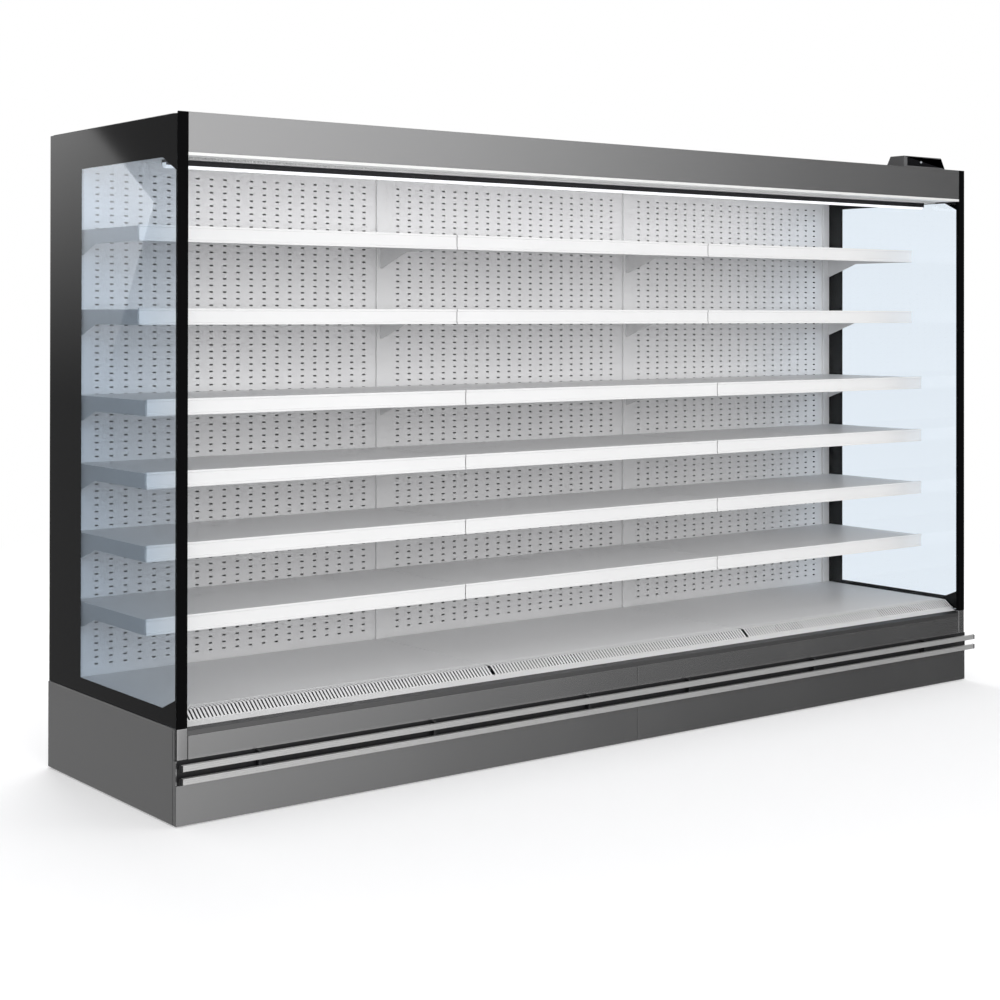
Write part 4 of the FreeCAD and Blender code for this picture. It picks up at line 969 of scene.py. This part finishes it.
def hoop(mesh, radius, height, wire, sides=48, around=6):
    """A closed ring of round wire."""
    rings = []
    for step in range(sides):
        angle = 2 * math.pi * step / sides
        ring = []
        for turn in range(around):
            bend = 2 * math.pi * turn / around
            reach, rise = radius + wire * math.cos(bend), height + wire * math.sin(bend)
            ring.append(mesh.verts.new((reach * math.cos(angle), reach * math.sin(angle), rise)))
        rings.append(ring)
    for step in range(sides):
        near, far = rings[step], rings[(step + 1) % sides]
        for turn in range(around):
            after = (turn + 1) % around
            mesh.faces.new((near[turn], far[turn], far[after], near[after]))


def blade(mesh, turned, spans=8, bends=6):
    """A pressed blade: wider and flatter towards its tip."""
    faces = {}
    for side in (-1, 1):
        for span in range(spans + 1):
            out = span / spans
            radius = HUB_RADIUS - BLADE_ROOT + (TIP_RADIUS - HUB_RADIUS + BLADE_ROOT) * out
            pitch = math.radians(BLADE_PITCH - BLADE_TWIST * out)
            chord = BLADE_CHORD + BLADE_FLARE * math.sin(out * math.pi * 0.6)
            for bend in range(bends + 1):
                share = 2 * bend / bends - 1
                along = chord / 2 * share
                across = BLADE_CAMBER * (1 - share * share) + side * BLADE_HALF
                y = along * math.cos(pitch) - across * math.sin(pitch)
                z = HUB_TOP - HUB_HEIGHT / 2 + along * math.sin(pitch) + across * math.cos(pitch)
                sweep = Matrix.Rotation(turned + BLADE_SWEEP * out * out, 3, "Z")
                faces[side, span, bend] = mesh.verts.new(sweep @ Vector((radius, y, z)))
    for span in range(spans):
        for bend in range(bends):
            for side in (-1, 1):
                mesh.faces.new(
                    [faces[side, span + a, bend + b] for a, b in ((0, 0), (1, 0), (1, 1), (0, 1))]
                )
        for bend in (0, bends):
            mesh.faces.new([faces[s, span + a, bend] for s, a in ((-1, 0), (-1, 1), (1, 1), (1, 0))])
    for span in (0, spans):
        for bend in range(bends):
            mesh.faces.new([faces[s, span, bend + b] for s, b in ((-1, 0), (-1, 1), (1, 1), (1, 0))])


dress("fan_plates", zinc)
guards = bmesh.new()
motors = bmesh.new()
for module in MODULES:
    guard = bmesh.new()
    for ring in range(GUARD_RINGS + 1):
        hoop(guard, GUARD_HUB + (GUARD_OPEN - GUARD_HUB) * ring / GUARD_RINGS, GUARD_FACE, GUARD_WIRE)
    flange = [
        (GUARD_OPEN, FLANGE_BACK), (GUARD_RADIUS, FLANGE_BACK),
        (GUARD_RADIUS, FLANGE_RIM), (GUARD_OPEN, FLANGE_FRONT),
    ]
    rings = [[guard.verts.new((r * math.cos(a), r * math.sin(a), h)) for r, h in flange]
             for a in [math.pi * k / 24 for k in range(48)]]
    for k in range(48):
        near, far = rings[k], rings[(k + 1) % 48]
        for turn in range(4):
            guard.faces.new((near[turn], far[turn], far[(turn + 1) % 4], near[(turn + 1) % 4]))
    for rib in range(GUARD_RIBS):
        flat = rectangle(GUARD_HUB, -GUARD_RIB, GUARD_OPEN + RIB_OVERLAP, GUARD_RIB)
        bar = prism(flat, GUARD_FACE - RIB_HALF, GUARD_FACE + RIB_HALF, "Z")
        turn = Matrix.Rotation(2 * math.pi * (rib + 0.5) / GUARD_RIBS, 3, "Z")
        bmesh.ops.rotate(bar, matrix=turn, verts=bar.verts)
        guard.from_mesh(block(bar))
    spun(guard, [(GUARD_HUB, FLANGE_BACK), (GUARD_HUB, GUARD_FACE + RIB_HALF), (GUARD_HUB - 0.002, 0.0045)], 48)
    guards.from_mesh(block(tilted(guard, module)))
    case = [(MOTOR_RADIUS - inwards, MOTOR_FOOT + rise) for inwards, rise in MOTOR_STEPS]
    motor = spun(bmesh.new(), case, 48)
    spun(motor, [(SHAFT_RADIUS, HUB_TOP - HUB_HEIGHT), (SHAFT_RADIUS, MOTOR_FOOT)], 24)
    motors.from_mesh(block(tilted(motor, module)))
    wheel = bmesh.new()
    bottom = HUB_TOP - HUB_HEIGHT
    spun(
        wheel,
        [(BORE_RADIUS, bottom), (HUB_RADIUS - 0.004, bottom), (HUB_RADIUS, bottom + 0.004), (HUB_RADIUS, HUB_TOP)],
        48,
    )
    for index in range(BLADES):
        blade(wheel, 2 * math.pi * index / BLADES + math.pi)
    settle(
        tilted(wheel, module), f"fan_impeller_{module}_wheel", black_plastic,
        f"fan_impeller_{module}", "fan_plastic", f"fan_impeller_{module}",
    )
settle(guards, "fan_wire_guards", black_plastic, "cabinet", "black_plastic", "fan_guards")
settle(motors, "fan_motor_cases", black_plastic, "cabinet", "motor_black", "fan_motors")

# --------------------------------------------------
# Cooling coil.  Aluminium fins pressed on rows of copper tube, between two galvanised end plates.
# --------------------------------------------------

FIN_PITCH = 0.008
FIN_THICKNESS = 0.0006
TUBE_RADIUS, TUBE_REACH = 0.008, 0.012
TUBE_COLUMNS, TUBE_ROWS = 6, 3
TUBE_FIRST, TUBE_PITCH = Vector((0.035, 0.040)), Vector((0.044, 0.045))
COIL_PLATE = 0.003
COIL_RISE = 0.008

fin_aluminium = finish("fin_aluminium", brushed_skin, (0.70, 0.71, 0.72), 0.35, 0.002, 0.00001, metallic=1.0)
copper = finish("copper_tube", powder_skin, (0.70, 0.32, 0.20), 0.30, 0.02, 0.00001, metallic=1.0, cloudiness=0.3)
low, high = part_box("evaporator_coil")
first = low.x + COIL_PLATE + FIN_PITCH / 2
fin_count = int((high.x - low.x - 2 * COIL_PLATE - FIN_PITCH) / FIN_PITCH)
fin = run(bmesh.new(), rectangle(low.y, low.z + COIL_RISE, high.y, high.z), first, first + FIN_THICKNESS)
fins = bmesh.new()
fins.from_mesh(repeated(fin, fin_aluminium, fin_count, (FIN_PITCH, 0.0, 0.0)))
settle(fins, "coil_fins", fin_aluminium, "cabinet", "coil_fins", "evaporator_coil")
tubes = bmesh.new()
turns = [math.pi * k / 6 for k in range(12)]
for row in range(TUBE_ROWS):
    for column in range(TUBE_COLUMNS):
        y, z = low.yz + TUBE_FIRST + TUBE_PITCH * Vector((column, row))
        ring = [(y + TUBE_RADIUS * math.cos(a), z + TUBE_RADIUS * math.sin(a)) for a in turns]
        run(tubes, ring, low.x - TUBE_REACH, high.x + TUBE_REACH)
settle(tubes, "coil_tubes", copper, "cabinet", "coil_fins")
plates = bmesh.new()
for x in (low.x, high.x - COIL_PLATE):
    run(plates, rounded(rectangle(low.y, low.z, high.y, high.z), 0.004), x, x + COIL_PLATE)
settle(plates, "coil_end_plates", zinc, "cabinet", "galvanised")

# --------------------------------------------------
# Controller.  A moulded dark grey housing on the canopy near the right end, with a glossy black window and a
# small pale dot on it, which is a painted highlight on the glossy window.
# --------------------------------------------------

CASE_GREY = (0.11, 0.11, 0.112)
GLINT_PLACE, GLINT_DEPTH = 0.40, 0.0006
GLINT_HALF_LENGTH, GLINT_HALF_HEIGHT = 0.0072, 0.0045

controller_grey = finish("controller_grey", powder_skin, CASE_GREY, 0.34, 0.0008, 0.00002)
eased("controller_housing", "controller_case", controller_grey, "controller_grey", 0.005, 3)
window_black = finish(
    "window_black", powder_skin, (0.006, 0.006, 0.007), 0.10, 0.3, 0.0, gloss=0.25, cloudiness=0.02, spread=0.01
)
eased("controller_window", "controller_screen", window_black, "window_black", 0.0012)
low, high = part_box("controller_window")
centre = Vector((low.x + (high.x - low.x) * GLINT_PLACE, (low.z + high.z) / 2))
turns = [math.pi * k / 12 for k in range(24)]
spot = [centre + Vector((GLINT_HALF_LENGTH * math.cos(a), GLINT_HALF_HEIGHT * math.sin(a))) for a in turns]
# The pale disc on the window is a painted highlight: it stands in for the glint of light on the glossy black.
glint_paint = finish("spot_lit", powder_skin, (0.32, 0.34, 0.36), 0.3, 0.001, 0.0)
dot = prism(spot, low.y - GLINT_DEPTH, low.y + GLINT_DEPTH, "Y")
settle(dot, "controller_spot", glint_paint, "cabinet", "window_black")
